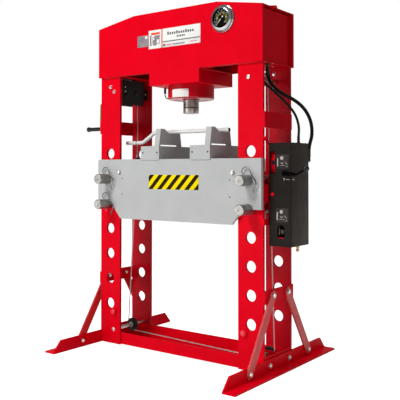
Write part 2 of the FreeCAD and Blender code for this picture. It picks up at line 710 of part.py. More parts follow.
def bed_spacers():
    """Webs between the bed plates, the rope rods and the lift arm."""
    y = (-BED_INNER, BED_INNER)
    webs = []
    for x in BED_WEB_X:
        web = block((x, x + BED_WEB_T), y, BED_WEB_Z)
        webs += [web, mirrored(web)]
    for s in (-1, 1):
        webs.append(rod_y(s * BED_ROD_X, BED_ROD_Z,
                          (-BED_HALF_DEPTH + 2, BED_HALF_DEPTH - 2), BED_ROD_R))
    arm_y = DRUM_AXIS[0] + DRUM_ROPE_R
    arm = block((LIFT_ARM[0], -BED_WEB_X[1]), (arm_y - LIFT_ARM_T / 2, arm_y + LIFT_ARM_T / 2),
                (LIFT_ARM[1], LIFT_ARM[2]))
    post_z = (BED_WEB_Z[1], LIFT_ARM[2])
    stand = block((-BED_WEB_X[1] - BED_WEB_T, -BED_WEB_X[1]),
                  (arm_y - 3 * LIFT_ARM_T, arm_y + LIFT_ARM_T), post_z)
    webs.append(joined([arm, stand]))
    return group(webs)


def clip_at(x, z):
    """Spring clip: straight leg through the pin, open loop, bowed outer leg."""
    points = [V(x + dx, CLIP_Y, z + dz) for dx, dz in CLIP_ROUTE]
    curve = Part.BSplineCurve()
    curve.interpolate(points)
    wire = Part.Wire([curve.toShape()])
    start = curve.tangent(curve.FirstParameter)[0]
    return pipe(wire, tuple(points[0]), tuple(start), CLIP_WIRE_R)


def lock_pin(x, z, clipped):
    profile = [(0, 6), (PIN_R - 12, 0), (PIN_R - PIN_CHAMFER, 0), (PIN_R, PIN_CHAMFER),
               (PIN_R, PIN_BACK - PIN_FRONT - PIN_CHAMFER),
               (PIN_R - PIN_CHAMFER, PIN_BACK - PIN_FRONT), (0, PIN_BACK - PIN_FRONT)]
    pin = turned(profile, (x, PIN_FRONT, z), (0, 1, 0))
    cross = rod_z(x, CLIP_Y, (z - PIN_R - 1, z + PIN_R + 1), CLIP_HOLE_R)
    pin = less(pin, [cross])
    return group([pin, clip_at(x, z)]) if clipped else pin


# ---------------------------------------------------------------- press blocks and bar
def press_block(x):
    """Block that hooks over both bed plates; its notched upright stands on two short feet."""
    width = (x, x + BLOCK_W)
    body = block(width, (-BLOCK_HALF_DEPTH, BLOCK_HALF_DEPTH), (BED_TOP, BLOCK_TOP))
    lip_in = BED_HALF_DEPTH + BLOCK_LIP_GAP
    lips = [block(width, (s * lip_in, s * BLOCK_HALF_DEPTH), (BED_TOP - BLOCK_LIP, BED_TOP))
            for s in (-1, 1)]
    hole_z = (BED_TOP + BLOCK_TOP) / 2
    holes = [rod_y(hx, hole_z, (-BLOCK_HALF_DEPTH - 1, -BLOCK_HALF_DEPTH + BLOCK_HOLE_DEPTH),
                   BLOCK_HOLE_R)
             for hx in (x + BLOCK_HOLE_INSET, x + BLOCK_W - BLOCK_HOLE_INSET)]
    up_x = (x + BLOCK_W - UPRIGHT_T, x + BLOCK_W)
    front = BAR_Y - UPRIGHT_HALF_BASE
    back = BAR_Y + UPRIGHT_HALF_BASE
    seam = (BLOCK_TOP, UPRIGHT_BOTTOM)
    feet = [block(up_x, (front, front + UPRIGHT_FOOT_L), seam),
            block(up_x, (back - UPRIGHT_HEEL_L, back), seam)]
    outline = [(-UPRIGHT_HALF_BASE, UPRIGHT_BOTTOM), (-UPRIGHT_HALF_TOP, UPRIGHT_TOP),
               (-UPRIGHT_HALF_TOP + HORN, UPRIGHT_TOP), (-NOTCH_HALF_FLAT, NOTCH_Z)]
    outline += [(-y, z) for y, z in reversed(outline)]
    upright = plate_yz([(BAR_Y + y, z) for y, z in outline], up_x)
    return joined([less(body, holes), upright] + feet + lips)


def pump_bar():
    """Steel lever bar that lies in the notches, bent down at its left end."""
    straight = rod((BAR_RIGHT - BAR_CAP, BAR_Y, BAR_Z), (BAR_BEND, BAR_Y, BAR_Z), BAR_R)
    knee = Part.makeSphere(BAR_R, V(BAR_BEND, BAR_Y, BAR_Z))
    slope = rod((BAR_BEND, BAR_Y, BAR_Z), (BAR_LOW_X, BAR_Y, BAR_LOW_Z), BAR_R)
    low_knee = Part.makeSphere(BAR_R, V(BAR_LOW_X, BAR_Y, BAR_LOW_Z))
    low = rod((BAR_LOW_X, BAR_Y, BAR_LOW_Z), (BAR_LEFT, BAR_Y, BAR_LOW_Z), BAR_R)
    ring = rod((BAR_RING_X + 4, BAR_Y, BAR_LOW_Z), (BAR_RING_X - 4, BAR_Y, BAR_LOW_Z), BAR_R + 2)
    end = turned([(0, 0), (BAR_R + 2, 0), (BAR_R + 2, BAR_CAP - 4), (BAR_R, BAR_CAP),
                  (0, BAR_CAP)], (BAR_RIGHT - BAR_CAP, BAR_Y, BAR_Z), (1, 0, 0))
    return joined([straight, knee, slope, low_knee, low, ring, end])


# ---------------------------------------------------------------- cylinder and ram
def cylinder_barrel():
    height = CROWN_BOTTOM - BARREL_BOTTOM
    tube = turned([(BORE_R, 0), (BARREL_R - 2, 0), (BARREL_R, 2), (BARREL_R, height),
                   (0, height), (0, height - BARREL_CLOSED), (BORE_R, height - BARREL_CLOSED)],
                  (0, 0, BARREL_BOTTOM), (0, 0, 1))
    return tube


def cylinder_gland():
    return turned([(RAM_R + RUN_FIT, 0), (BORE_R, 0), (BORE_R, GLAND_H),
                   (RAM_R + RUN_FIT, GLAND_H)], (0, 0, BARREL_BOTTOM), (0, 0, 1))


def ram_rod():
    top = PISTON_Z[0] - RAM_BOTTOM
    groove = RAM_GROOVE_Z - RAM_BOTTOM
    neck_top = PISTON_Z[1] - RAM_BOTTOM
    profile = [(0, 0), (RAM_R - 3, 0), (RAM_R, 3), (RAM_R, groove - 2.5), (RAM_R - 3, groove),
               (RAM_R, groove + 2.5), (RAM_R, top), (RAM_NECK_R, top), (RAM_NECK_R, neck_top),
               (0, neck_top)]
    rod_shape = turned(profile, (0, 0, RAM_BOTTOM), (0, 0, 1))
    return rod_shape


def ram_piston():
    height = PISTON_Z[1] - PISTON_Z[0]
    wall = BORE_R - RUN_FIT
    seal = wall - 3
    profile = [(RAM_NECK_R, 0), (wall, 0), (wall, 12), (seal, 12), (seal, 20), (wall, 20),
               (wall, height), (RAM_NECK_R, height)]
    return turned(profile, (0, 0, PISTON_Z[0]), (0, 0, 1))


def bleed_tube():
    """Small connector beside the drop, with a thin tube to the cylinder."""
    body = rod_z(BLEED_X, 0, BLEED_Z, BLEED_BODY_R)
    stub_z = DROP_BOTTOM + BLEED_STUB_UP
    stub = rod((BLEED_X, 0, stub_z), (-DROP_HALF_W, 0, stub_z), BLEED_STUB_R)
    top = BLEED_Z[0]
    points = [V(BLEED_X, 0, top), V(BLEED_X + 2, 0, top - 16), V(BLEED_X + 18, 0, BLEED_END_Z - 4),
              V(BLEED_X + 40, 0, BLEED_END_Z), V(RUN_FIT - BARREL_R, 0, BLEED_END_Z)]
    curve = Part.BSplineCurve()
    curve.interpolate(points)
    start = curve.tangent(curve.FirstParameter)[0]
    tube = pipe(Part.Wire([curve.toShape()]), tuple(points[0]), tuple(start), BLEED_TUBE_R)
    tube = less(tube, [rod_z(0, 0, (BARREL_BOTTOM, DROP_BOTTOM), BARREL_R)])
    return group([joined([body, stub]), tube])


# ---------------------------------------------------------------- gauge
def gauge_case():
    """Cup through the head plate with the wide flange seated on its front."""
    front = -HEAD_HALF_DEPTH
    depth = HEAD_HALF_DEPTH - 120.0
    cup = turned([(0, 0), (GAUGE_CASE_R, 0), (GAUGE_CASE_R, depth), (GAUGE_R, depth),
                  (GAUGE_R, depth + 4), (GAUGE_CASE_R, depth + 4), (GAUGE_CASE_R, depth + 11),
                  (DIAL_R, depth + 11), (DIAL_R, 4), (0, 4)],
                 (GAUGE_X, front + depth, GAUGE_Z), (0, -1, 0))
    post_shape = rod_y(GAUGE_X, GAUGE_Z, (front + depth - 4, DIAL_BACK), 8)
    return joined([cup, post_shape])


def gauge_bezel():
    """Tapered chrome ring that holds the glass."""
    back = -HEAD_HALF_DEPTH - 4.0
    height = back - GAUGE_FACE
    inner = GAUGE_CASE_R
    return turned([(inner, 0), (GAUGE_R - 1, 0), (GAUGE_R - 5, 5), (WINDOW_R + 5, height),
                   (WINDOW_R, height), (WINDOW_R, height - 4), (inner, height - 4)],
                  (GAUGE_X, back, GAUGE_Z), (0, -1, 0))


def gauge_dial():
    y = DIAL_BACK
    disc = rod_y(GAUGE_X, GAUGE_Z, (y - 1.5, y), DIAL_R)
    return less(disc, [rod_y(GAUGE_X, GAUGE_Z, (y - 3, y + 1), SPINDLE_R + RUN_FIT)])


def gauge_glass():
    y = GAUGE_FACE + 4
    return rod_y(GAUGE_X, GAUGE_Z, (y, y + 2), GAUGE_CASE_R)


def gauge_needle():
    """Pointer and hub on the spindle, between dial and glass."""
    angle = math.radians(NEEDLE_REST)
    along = (math.cos(angle), math.sin(angle))
    across = (-along[1], along[0])
    y = (GAUGE_FACE + 8.5, GAUGE_FACE + 9.5)

    def at(forward, sideways):
        return (GAUGE_X + along[0] * forward + across[0] * sideways,
                GAUGE_Z + along[1] * forward + across[1] * sideways)

    outline = [at(-NEEDLE_TAIL, 3), at(-NEEDLE_TAIL, -3), at(0, -2.2), at(NEEDLE_LEN, -0.6),
               at(NEEDLE_LEN, 0.6), at(0, 2.2)]
    pointer = plate_xz(outline, y)
    hub = rod_y(GAUGE_X, GAUGE_Z, (y[0] - 1, y[1] + 1), 5)
    spindle = rod_y(GAUGE_X, GAUGE_Z, (y[1], DIAL_BACK - NEAR_GAP), SPINDLE_R)
    return joined([pointer, hub, spindle])


# ---------------------------------------------------------------- pump box
def pump_box():
    """Folded sheet housing with a tall slot and a round-ended port."""
    body = block(BOX_X, BOX_Y, BOX_Z)
    upright = [e for e in body.Edges if abs(e.tangentAt(e.FirstParameter).z) > 0.9]
    body = body.makeFillet(BOX_EDGE, upright)
    room = block((BOX_X[0] + BOX_T, BOX_X[1] - BOX_T), (BOX_Y[0] + BOX_T, BOX_Y[1] - BOX_T),
                 (BOX_Z[0] + BOX_T, BOX_Z[1] - BOX_T))
    front = (BOX_Y[0] - 1, BOX_Y[0] + BOX_T + 1)
    slot = block(SLOT_X, front, SLOT_Z)
    radius = (PORT_X[1] - PORT_X[0]) / 2
    mid_x = (PORT_X[0] + PORT_X[1]) / 2
    port = joined([block(PORT_X, front, (PORT_Z[0] + radius, PORT_Z[1] - radius)),
                   rod_y(mid_x, PORT_Z[0] + radius, front, radius),
                   rod_y(mid_x, PORT_Z[1] - radius, front, radius)])
    spindle = rod_y(VALVE_X, VALVE_Z, front, VALVE_SPINDLE_R + RUN_FIT)
    drain = rod_z(DRAIN[0], DRAIN[1], (BOX_Z[0] - 1, BOX_Z[0] + BOX_T + 1), BOX_HOLE_R)
    hose_in = rod_z(RETURN_ROUTE[-1][0], RETURN_ROUTE[-1][1],
                    (BOX_Z[1] - BOX_T - 1, BOX_Z[1] + 1), BOX_HOLE_R)
    return less(body, [room, slot, port, spindle, drain, hose_in])


def box_bracket():
    """Plate with two front tabs that carries the box, and a sloped strap at the box top."""
    x = (POST_OUT, POST_OUT + BRACKET_T)
    plate = block(x, (BRACKET_FRONT, POST_FRONT), BRACKET_Z)
    tabs = [block(x, (-POST_FRONT, BRACKET_FRONT), z) for z in BRACKET_TABS_Z]
    rails = [block((x[1], BOX_X[0]), y, (BRACKET_RAIL_LOW, BRACKET_Z[1]))
             for y in BRACKET_RAILS_Y]
    y, z = STRAP_Y, STRAP_Z
    strap = plate_yz([(y[0], z[0]), (y[1], z[1]), (y[1], z[1] + STRAP_H), (y[0], z[0] + STRAP_H)],
                     (POST_OUT, BOX_X[0]))
    return group([joined([plate] + tabs + rails), strap])


def pump_block():
    """Valve and plunger block on the box floor side, with the lever pivot pins."""
    inner_back = BOX_Y[1] - BOX_T
    wall = block((BOX_X[0] + BOX_T, BOX_X[1] - BOX_T), (PUMP_WALL_Y, inner_back),
                 (BOX_Z[0] + BOX_T, PUMP_WALL_TOP))
    pins = []
    for x, z in SOCKETS.values():
        inside = SOCKET_R - 1 + CHEEK_GAP
        outside = inside + CHEEK_T
        pins.append(rod_x(SOCKET_PIVOT_Y, z, (x - outside, x + outside), SOCKET_PIN_R))
        for side in (-1, 1):
            pins.append(block((x + side * inside, x + side * outside),
                              (SOCKET_PIVOT_Y - 9, PUMP_WALL_Y), (z - 9, z + 9)))
    spindle_seat = rod_y(VALVE_X, VALVE_Z, (-60, PUMP_WALL_Y), 14)
    seat_hole = rod_y(VALVE_X, VALVE_Z, (-61, -35), VALVE_SPINDLE_R + RUN_FIT)
    drain = rod_z(DRAIN[0], DRAIN[1], (BOX_Z[0] + BOX_T - 1, BOX_Z[0] + 30), 6)
    return less(joined([wall] + pins + [spindle_seat]), [seat_hole, drain])


def pump_socket(x, z):
    """Lever socket: open tube that swings up and down on its pivot."""
    mouth = BOX_Y[0] + SOCKET_IN
    tube = rod_y(x, z, (mouth, SOCKET_PIVOT_Y - 10), SOCKET_R)
    hole = rod_y(x, z, (mouth - 1, mouth + SOCKET_BORE_DEPTH), BAR_R + SOCKET_FIT)
    eye = rod_x(SOCKET_PIVOT_Y, z, (x - SOCKET_R + 1, x + SOCKET_R - 1), SOCKET_R)
    neck = block((x - 8, x + 8), (SOCKET_PIVOT_Y - 14, SOCKET_PIVOT_Y), (z - 8, z + 8))
    bore = rod_x(SOCKET_PIVOT_Y, z, (x - 20, x + 20), SOCKET_PIN_R + RUN_FIT)
    return less(joined([tube, eye, neck]), [hole, bore])


def valve_lever():
    """Release valve spindle, hub, bent arm and ball knob."""
    front = BOX_Y[0]
    spindle = rod_y(VALVE_X, VALVE_Z, (front - 6, -36), VALVE_SPINDLE_R)
    hub = rod_y(VALVE_X, VALVE_Z, (front - 16, front - NEAR_GAP), VALVE_HUB_R)
    start = (VALVE_X, front - 10, VALVE_Z)
    arm = rod(start, VALVE_ELBOW, VALVE_ARM_R)
    elbow = Part.makeSphere(VALVE_ELBOW_R, V(*VALVE_ELBOW))
    elbow.rotate(V(*VALVE_ELBOW), V(0, 0, 1), 90)      # turns the seam away from both arms
    reach = rod(VALVE_ELBOW, VALVE_KNOB, VALVE_ARM_R)
    knob = Part.makeSphere(VALVE_KNOB_R, V(*VALVE_KNOB))
    return joined([spindle, hub, arm, elbow, reach, knob])


def drain_fitting():
    top = BOX_Z[0] + BOX_T
    body = turned([(0, 0), (7, 0), (9, 3), (9, 12), (6, 14), (6, 20), (10, 21),
                   (10, BOX_Z[0] - DRAIN_LOW), (5.5, BOX_Z[0] - DRAIN_LOW),
                   (5.5, top + 20 - DRAIN_LOW), (0, top + 20 - DRAIN_LOW)],
                  (DRAIN[0], DRAIN[1], DRAIN_LOW), (0, 0, 1))
    return body


def hose_fittings():
    """Brass unions at both ends of the two hoses."""
    pieces = []
    for route, radius in ((PRESSURE_ROUTE, PRESSURE_HOSE_R), (RETURN_ROUTE, RETURN_HOSE_R)):
        x, y, z = route[0]
        nut = radius + UNION_WALL
        nut_top = HEAD_BOTTOM - NEAR_GAP - z
        stub_top = HEAD_BOTTOM + HOSE_STUB_IN - z
        pieces.append(turned([(0, 0), (nut, 0), (nut, nut_top), (HOSE_STUB_R, nut_top),
                              (HOSE_STUB_R, stub_top), (0, stub_top)], (x, y, z), (0, 0, 1)))
    x, y, z = RETURN_ROUTE[-1]
    lid_under = BOX_Z[1] - BOX_T
    tail = 4.0
    shank = BOX_T + tail
    length = z - lid_under + tail
    pieces.append(turned([(0, 0), (BOX_HOLE_R - BOLT_FIT, 0), (BOX_HOLE_R - BOLT_FIT, shank),
                          (BOX_UNION_R, shank), (BOX_UNION_R, length), (0, length)],
                         (x, y, lid_under - tail), (0, 0, 1)))
    x, y, z = PRESSURE_ROUTE[-1]
    heel_z = z - ELBOW_DROP
    upright = rod_z(x, y, (heel_z, z), ELBOW_R - 1)
    inlet = rod((x, y, heel_z), (x, BOX_Y[1], heel_z), ELBOW_R - 2)
    heel = Part.makeSphere(ELBOW_R, V(x, y, heel_z))
    pieces.append(joined([upright, heel, inlet]))
    return group(pieces)


# ---------------------------------------------------------------- winch
def involute(radius, base):
    ratio = min(1.0, base / radius)
    pressure = math.acos(ratio)
    return math.tan(pressure) - pressure


def gear_outline(teeth, first_tooth):
    """Spur gear outline as (y, z) offsets; first_tooth is the angle of one tooth."""
    pitch = GEAR_MODULE * teeth / 2
    base = pitch * math.cos(math.radians(20))
    tip = pitch + GEAR_MODULE
    root = pitch - 1.25 * GEAR_MODULE
    half = math.pi / (2 * teeth) - GEAR_BACKLASH / (2 * pitch) + involute(pitch, base)
    low = max(base, root)
    radii = [low, (low + pitch) / 2, pitch, (pitch + tip) / 2, tip]
    points = []
    for tooth in range(teeth):
        centre = first_tooth + 2 * math.pi * tooth / teeth
        flank = [(r, half - involute(r, base)) for r in radii]
        if root < low:
            flank.insert(0, (root, flank[0][1]))
        for r, a in flank:
            points.append((r * math.cos(centre - a), r * math.sin(centre - a)))
        for r, a in reversed(flank):
            points.append((r * math.cos(centre + a), r * math.sin(centre + a)))
    return points


def gear(teeth, axis, first_tooth, x):
    outline = [(axis[0] + y, axis[1] + z) for y, z in gear_outline(teeth, first_tooth)]
    return plate_yz(outline, x)


def gear_plane():
    left = WINCH_X[0] + WINCH_T + 4
    return (left, left + GEAR_T)


def mesh_angle():
    return math.atan2(GEAR_DZ, GEAR_DY)


def winch_side(x):
    """Side plate of the winch with both shaft holes."""
    y = (WINCH_Y[0], WINCH_Y[1])
    plate = block(x, y, WINCH_Z)
    bulge_y, bulge_up, bulge_r = WINCH_BULGE
    bulge = less(rod_x(bulge_y, WINCH_Z[0] + bulge_up, x, bulge_r),
                 [block((x[0] - 1, x[1] + 1), y, (WINCH_Z[0], WINCH_Z[1]))])
    through = (min(x) - 1, max(x) + 1)
    holes = [rod_x(c[0], c[1], through, SHAFT_R + RUN_FIT) for c in (DRUM_AXIS, CRANK_AXIS)]
    return less(joined([plate, bulge]), holes)


def winch_housing():
    left = winch_side((WINCH_X[0], WINCH_X[0] + WINCH_T))
    right = winch_side((WINCH_X[1] - WINCH_T, WINCH_X[1]))
    top = block(WINCH_X, (-POST_BACK, WINCH_Y[1]), (WINCH_Z[1], WINCH_Z[1] + WINCH_T))
    flange = block(WINCH_X, (-POST_BACK, WINCH_Y[0]), WINCH_Z)
    flange = less(flange, bolt_holes(WINCH_BOLTS, (-POST_BACK - 1, WINCH_Y[0] + 1)))
    arm = block((WINCH_X[1] - WINCH_T, WINCH_X[1]), (WINCH_Y[1], POST_BACK), WINCH_TAB_Z)
    pad = block(WINCH_TAB_X, (POST_BACK - BRACKET_T, POST_BACK), WINCH_TAB_Z)
    small = bolt_holes(WINCH_TAB_BOLTS, (POST_BACK - BRACKET_T - 1, POST_BACK + 1))
    return joined([left, right, top, flange, less(joined([arm, pad]), small)])


def winch_drum():
    """Rope drum with its gear and shaft."""
    gx = gear_plane()
    base = (WINCH_X[0] - 3, DRUM_AXIS[0], DRUM_AXIS[1])
    start = gx[1] + 1 - base[0]
    stop = WINCH_X[1] - WINCH_T - 4 - base[0]
    end = WINCH_X[1] + 3 - base[0]
    profile = [(0, 0), (SHAFT_R, 0), (SHAFT_R, start), (DRUM_FLANGE_R, start),
               (DRUM_FLANGE_R, start + 3), (DRUM_CORE_R, start + 3), (DRUM_CORE_R, stop - 3),
               (DRUM_FLANGE_R, stop - 3), (DRUM_FLANGE_R, stop), (SHAFT_R, stop),
               (SHAFT_R, end), (0, end)]
    drum = turned(profile, base, (1, 0, 0))
    wheel = gear(GEAR_TEETH, DRUM_AXIS, mesh_angle(), gx)
    hub = rod_x(DRUM_AXIS[0], DRUM_AXIS[1], (gx[0], gx[1] + 1), 30)
    return joined([drum, wheel, hub])


def winch_crank():
    """Pinion, its shaft and the cranked arm with the grip spindle."""
    gx = gear_plane()
    y, z = CRANK_AXIS
    first = mesh_angle() + math.pi + math.pi / PINION_TEETH
    pinion = gear(PINION_TEETH, CRANK_AXIS, first, gx)
    shaft = rod_x(y, z, (CRANK_X - CRANK_T, WINCH_X[1] + 3), SHAFT_R)
    arm_x = (CRANK_X - CRANK_T, CRANK_X)
    pieces = [pinion, shaft, rod_x(y, z, (CRANK_X - CRANK_T, CRANK_X + 12), 15)]
    for a, b in ((CRANK_AXIS, CRANK_KNEE), (CRANK_KNEE, CRANK_END)):
        length = math.hypot(b[0] - a[0], b[1] - a[1])
        ny = -(b[1] - a[1]) / length * CRANK_W / 2
        nz = (b[0] - a[0]) / length * CRANK_W / 2
        pieces.append(plate_yz([(a[0] + ny, a[1] + nz), (b[0] + ny, b[1] + nz),
                                (b[0] - ny, b[1] - nz), (a[0] - ny, a[1] - nz)], arm_x))
        pieces.append(rod_x(b[0], b[1], arm_x, CRANK_W / 2))
    pieces.append(rod_x(CRANK_END[0], CRANK_END[1], (GRIP_END + 4, CRANK_X), GRIP_SPINDLE_R))
    return joined(pieces)


def crank_grip():
    start = CRANK_X - CRANK_T - NEAR_GAP
    length = start - GRIP_END
    bore = GRIP_SPINDLE_R + RUN_FIT
    profile = [(bore, 0), (GRIP_R - 1, 0), (GRIP_R, 4), (GRIP_R, length - 30),
               (GRIP_R + 1, length - 22), (GRIP_BALL_R, length - 14),
               (GRIP_BALL_R, length - 8), (GRIP_R, length), (0, length), (0, length - 3),
               (bore, length - 3)]
    return turned(profile, (start, CRANK_END[0], CRANK_END[1]), (-1, 0, 0))


# ---------------------------------------------------------------- ropes and pulleys
def pulley(centre):
    half = PULLEY_W / 2
    hub = AXLE_R + RUN_FIT
    profile = [(hub, -half), (PULLEY_RIM_R, -half), (PULLEY_RIM_R, -half + 2),
               (GROOVE_R, -ROPE_R), (GROOVE_R, ROPE_R), (PULLEY_RIM_R, half - 2),
               (PULLEY_RIM_R, half), (hub, half)]
    return turned(profile, centre, (0, 1, 0))


def collars(centre):
    """Two collars that keep a pulley in place on its axle."""
    rings = []
    half = PULLEY_W / 2 + NEAR_GAP
    for s in (-1, 1):
        y = (centre[1] + s * half, centre[1] + s * (half + COLLAR_W))
        rings.append(rod_y(centre[0], centre[2], y, COLLAR_R))
    return rings


def pulley_axles():
    """Two long axles through the posts, one short axle on its own cheeks."""
    axles = []
    for centre in (PULLEY_LOW_LEFT, PULLEY_TOP):
        x, _, z = centre
        shaft = rod_y(x, z, (-POST_FRONT, POST_FRONT), AXLE_R)
        heads = [rod_y(x, z, (s * POST_FRONT, s * (POST_FRONT + 6)), AXLE_R + 2)
                 for s in (-1, 1)]
        axles.append(joined([shaft] + heads + collars(centre)))
    x, y, z = PULLEY_LOW_RIGHT
    reach = PULLEY_W / 2 + NEAR_GAP + COLLAR_W
    cheeks = []
    for s in (-1, 1):
        y_side = (y + s * reach, y + s * (reach + 6))
        cheeks.append(block((x - 16, POST_OUT - TIE_T), y_side, (z - 22, z + 22)))
    shaft = rod_y(x, z, (y - reach - 10, y + reach + 10), AXLE_R)
    axles.append(joined([shaft] + cheeks + collars(PULLEY_LOW_RIGHT)))
    return group(axles)


def flat(point):
    return (point[0], point[2])


def unit(angle):
    return (math.cos(angle), math.sin(angle))


def offset(centre, direction):
    """Point on the pulley's rope line, on the right of the rope's travel."""
    return (centre[0] + ROPE_PITCH_R * direction[1], centre[1] - ROPE_PITCH_R * direction[0])


def travel_between(a, b):
    return unit(math.atan2(b[1] - a[1], b[0] - a[0]))


def travel_onto(point, centre):
    """Direction from a free end to the pulley it runs onto."""
    dx = centre[0] - point[0]
    dz = centre[1] - point[1]
    return unit(math.atan2(dz, dx) - math.asin(ROPE_PITCH_R / math.hypot(dx, dz)))


def travel_off(centre, point):
    dx = point[0] - centre[0]
    dz = point[1] - centre[1]
    return unit(math.atan2(dz, dx) + math.asin(ROPE_PITCH_R / math.hypot(dx, dz)))


def wrap(centre, before, after):
    """Arc of rope on a pulley between two travel directions."""
    c = flat(centre)
    y = centre[1]
    start = offset(c, before)
    end = offset(c, after)
    middle = (before[0] + after[0], before[1] + after[1])
    size = math.hypot(*middle)
    if size < 0.05:
        middle = (-before[1], before[0])
        size = 1.0
    mid = offset(c, (middle[0] / size, middle[1] / size))
    return V(start[0], y, start[1]), V(mid[0], y, mid[1]), V(end[0], y, end[1])


def balance_rope():
    """Rope under both base pulleys and over the top one; keeps the bed level."""
    eye = BED_ROD_R + 5.5
    left_end = (-BED_ROD_X, BED_ROD_Z)
    right_end = (PULLEY_TOP[0] - ROPE_PITCH_R, BED_ROD_Z)
    pulleys = (PULLEY_LOW_LEFT, PULLEY_LOW_RIGHT, PULLEY_TOP)
    ways = [travel_onto(left_end, flat(pulleys[0])), travel_between(flat(pulleys[0]), flat(pulleys[1])),
            travel_between(flat(pulleys[1]), flat(pulleys[2])), travel_off(flat(pulleys[2]), right_end)]
    first = V(left_end[0] + ways[0][0] * eye, ROPE_LEFT_END_Y, left_end[1] + ways[0][1] * eye)
    last = V(right_end[0] - ways[3][0] * eye, PULLEY_TOP[1], right_end[1] - ways[3][1] * eye)
    pieces = []
    here = first
    for i, centre in enumerate(pulleys):
        start, mid, end = wrap(centre, ways[i], ways[i + 1])
        bend = Part.Arc(start, mid, end).toShape()
        pieces.append(rod(tuple(here), tuple(start), ROPE_R))
        pieces.append(pipe(Part.Wire([bend]), tuple(start),
                           tuple(bend.tangentAt(bend.FirstParameter)), ROPE_R))
        here = end
    pieces.append(rod(tuple(here), tuple(last), ROPE_R))
    half = ROPE_EYE_W / 2
    left_y = (ROPE_LEFT_END_Y - half, ROPE_LEFT_END_Y + half)
    right_y = (PULLEY_TOP[1] - half, PULLEY_TOP[1] + half)
    arm = block((BED_ROD_X, right_end[0] + ROPE_ARM_END), right_y, (BED_ROD_Z, BED_ROD_Z + eye))
    left = rod_y(-BED_ROD_X, BED_ROD_Z, left_y, eye + 0.5)
    right = joined([rod_y(BED_ROD_X, BED_ROD_Z, right_y, eye + 0.5), arm])
    bores = [rod_y(side * BED_ROD_X, BED_ROD_Z, (-BED_HALF_DEPTH, BED_HALF_DEPTH),
                   BED_ROD_R + NEAR_GAP) for side in (-1, 1)]
    return group(pieces + [less(left, bores), less(right, bores)])


def lift_rope():
    """Rope from the winch drum down to the bed's lift arm."""
    y0, z0 = DRUM_AXIS
    side = y0 + DRUM_ROPE_R
    low = LIFT_ARM[2] + ROPE_SOCKET_L

    def on_drum(degrees):
        a = math.radians(degrees)
        return V(LIFT_X, y0 + DRUM_ROPE_R * math.cos(a), z0 + DRUM_ROPE_R * math.sin(a))

    run = Part.makeLine(V(LIFT_X, side, low), on_drum(0))
    turn = Part.Arc(on_drum(0), on_drum(120), on_drum(240)).toShape()
    rope = pipe(Part.Wire([run, turn]), (LIFT_X, side, low), (0, 0, 1), ROPE_R)
    socket = rod_z(LIFT_X, side, (LIFT_ARM[2], low), ROPE_SOCKET_R)
    return joined([rope, socket])


# ---------------------------------------------------------------- plates
def name_plates():
    """Two bare plates on the head and the striped one on the bed."""
    front = -HEAD_HALF_DEPTH
    bed = -BED_HALF_DEPTH
    large = block(NAME_PLATE_X, (front - NAME_PLATE_T, front), NAME_PLATE_Z)
    small = block(SMALL_PLATE_X, (front - NAME_PLATE_T, front), SMALL_PLATE_Z)
    stripe = block((-STRIPE_HALF_W, STRIPE_HALF_W), (bed - STRIPE_T, bed), STRIPE_Z)
    return group([large, small, stripe])


# ---------------------------------------------------------------- build
NODES = {
    "head_front_plate": head_front_plate,
    "head_rear_plate": head_rear_plate,
    "head_end_panels": head_end_panels,
    "head_top_cover": head_top_cover,
    "lifting_lugs": lifting_lugs,
    "head_floor": head_floor,
    "crown_plate": crown_plate,
    "front_posts": front_posts,
    "rear_posts": rear_posts,
    "upper_side_ties": lambda: side_ties(UPPER_TIE_Z, POST_FRONT - UPPER_TIE_SHORT),
    "lower_side_ties": lambda: side_ties(LOWER_TIE_Z, POST_FRONT, STRUT_TOP),
    "foot_ties": foot_ties,
    "front_base_rail": base_rail,
    "rear_base_rail": lambda: rear(base_rail()),
    "foot_right": foot,
    "foot_left": lambda: mirrored(foot()),
    "foot_struts": foot_struts,
    "frame_bolts": frame_bolts,
    "bed_front_plate": bed_front_plate,
    "bed_rear_plate": lambda: rear(bed_front_plate()),
    "bed_spacers": bed_spacers,
    "press_block_left": lambda: press_block(BLOCK_LEFT_X),
    "press_block_right": lambda: press_block(BLOCK_RIGHT_X),
    "pump_bar": pump_bar,
    "cylinder_barrel": cylinder_barrel,
    "cylinder_gland": cylinder_gland,
    "bleed_tube": bleed_tube,
    "ram_rod": ram_rod,
    "ram_piston": ram_piston,
    "gauge_case": gauge_case,
    "gauge_bezel": gauge_bezel,
    "gauge_dial": gauge_dial,
    "gauge_glass": gauge_glass,
    "gauge_needle": gauge_needle,
    "pump_box": pump_box,
    "box_bracket": box_bracket,
    "pump_block": pump_block,
    "pump_socket_upper": lambda: pump_socket(*SOCKETS["pump_socket_upper"]),
    "pump_socket_lower": lambda: pump_socket(*SOCKETS["pump_socket_lower"]),
    "valve_lever": valve_lever,
    "drain_fitting": drain_fitting,
    "hose_fittings": hose_fittings,
    "pressure_hose": lambda: hose(PRESSURE_ROUTE, PRESSURE_HOSE_R, "pressure_hose"),
    "return_hose": lambda: hose(RETURN_ROUTE, RETURN_HOSE_R, "return_hose"),
    "winch_housing": winch_housing,
    "winch_drum": winch_drum,
    "winch_crank": winch_crank,
    "crank_grip": crank_grip,
    "pulley_low_left": lambda: pulley(PULLEY_LOW_LEFT),
    "pulley_low_right": lambda: pulley(PULLEY_LOW_RIGHT),
    "pulley_top": lambda: pulley(PULLEY_TOP),
    "pulley_axles": pulley_axles,
    "lift_rope": lift_rope,
    "balance_rope": balance_rope,
    "name_plates": name_plates,
}
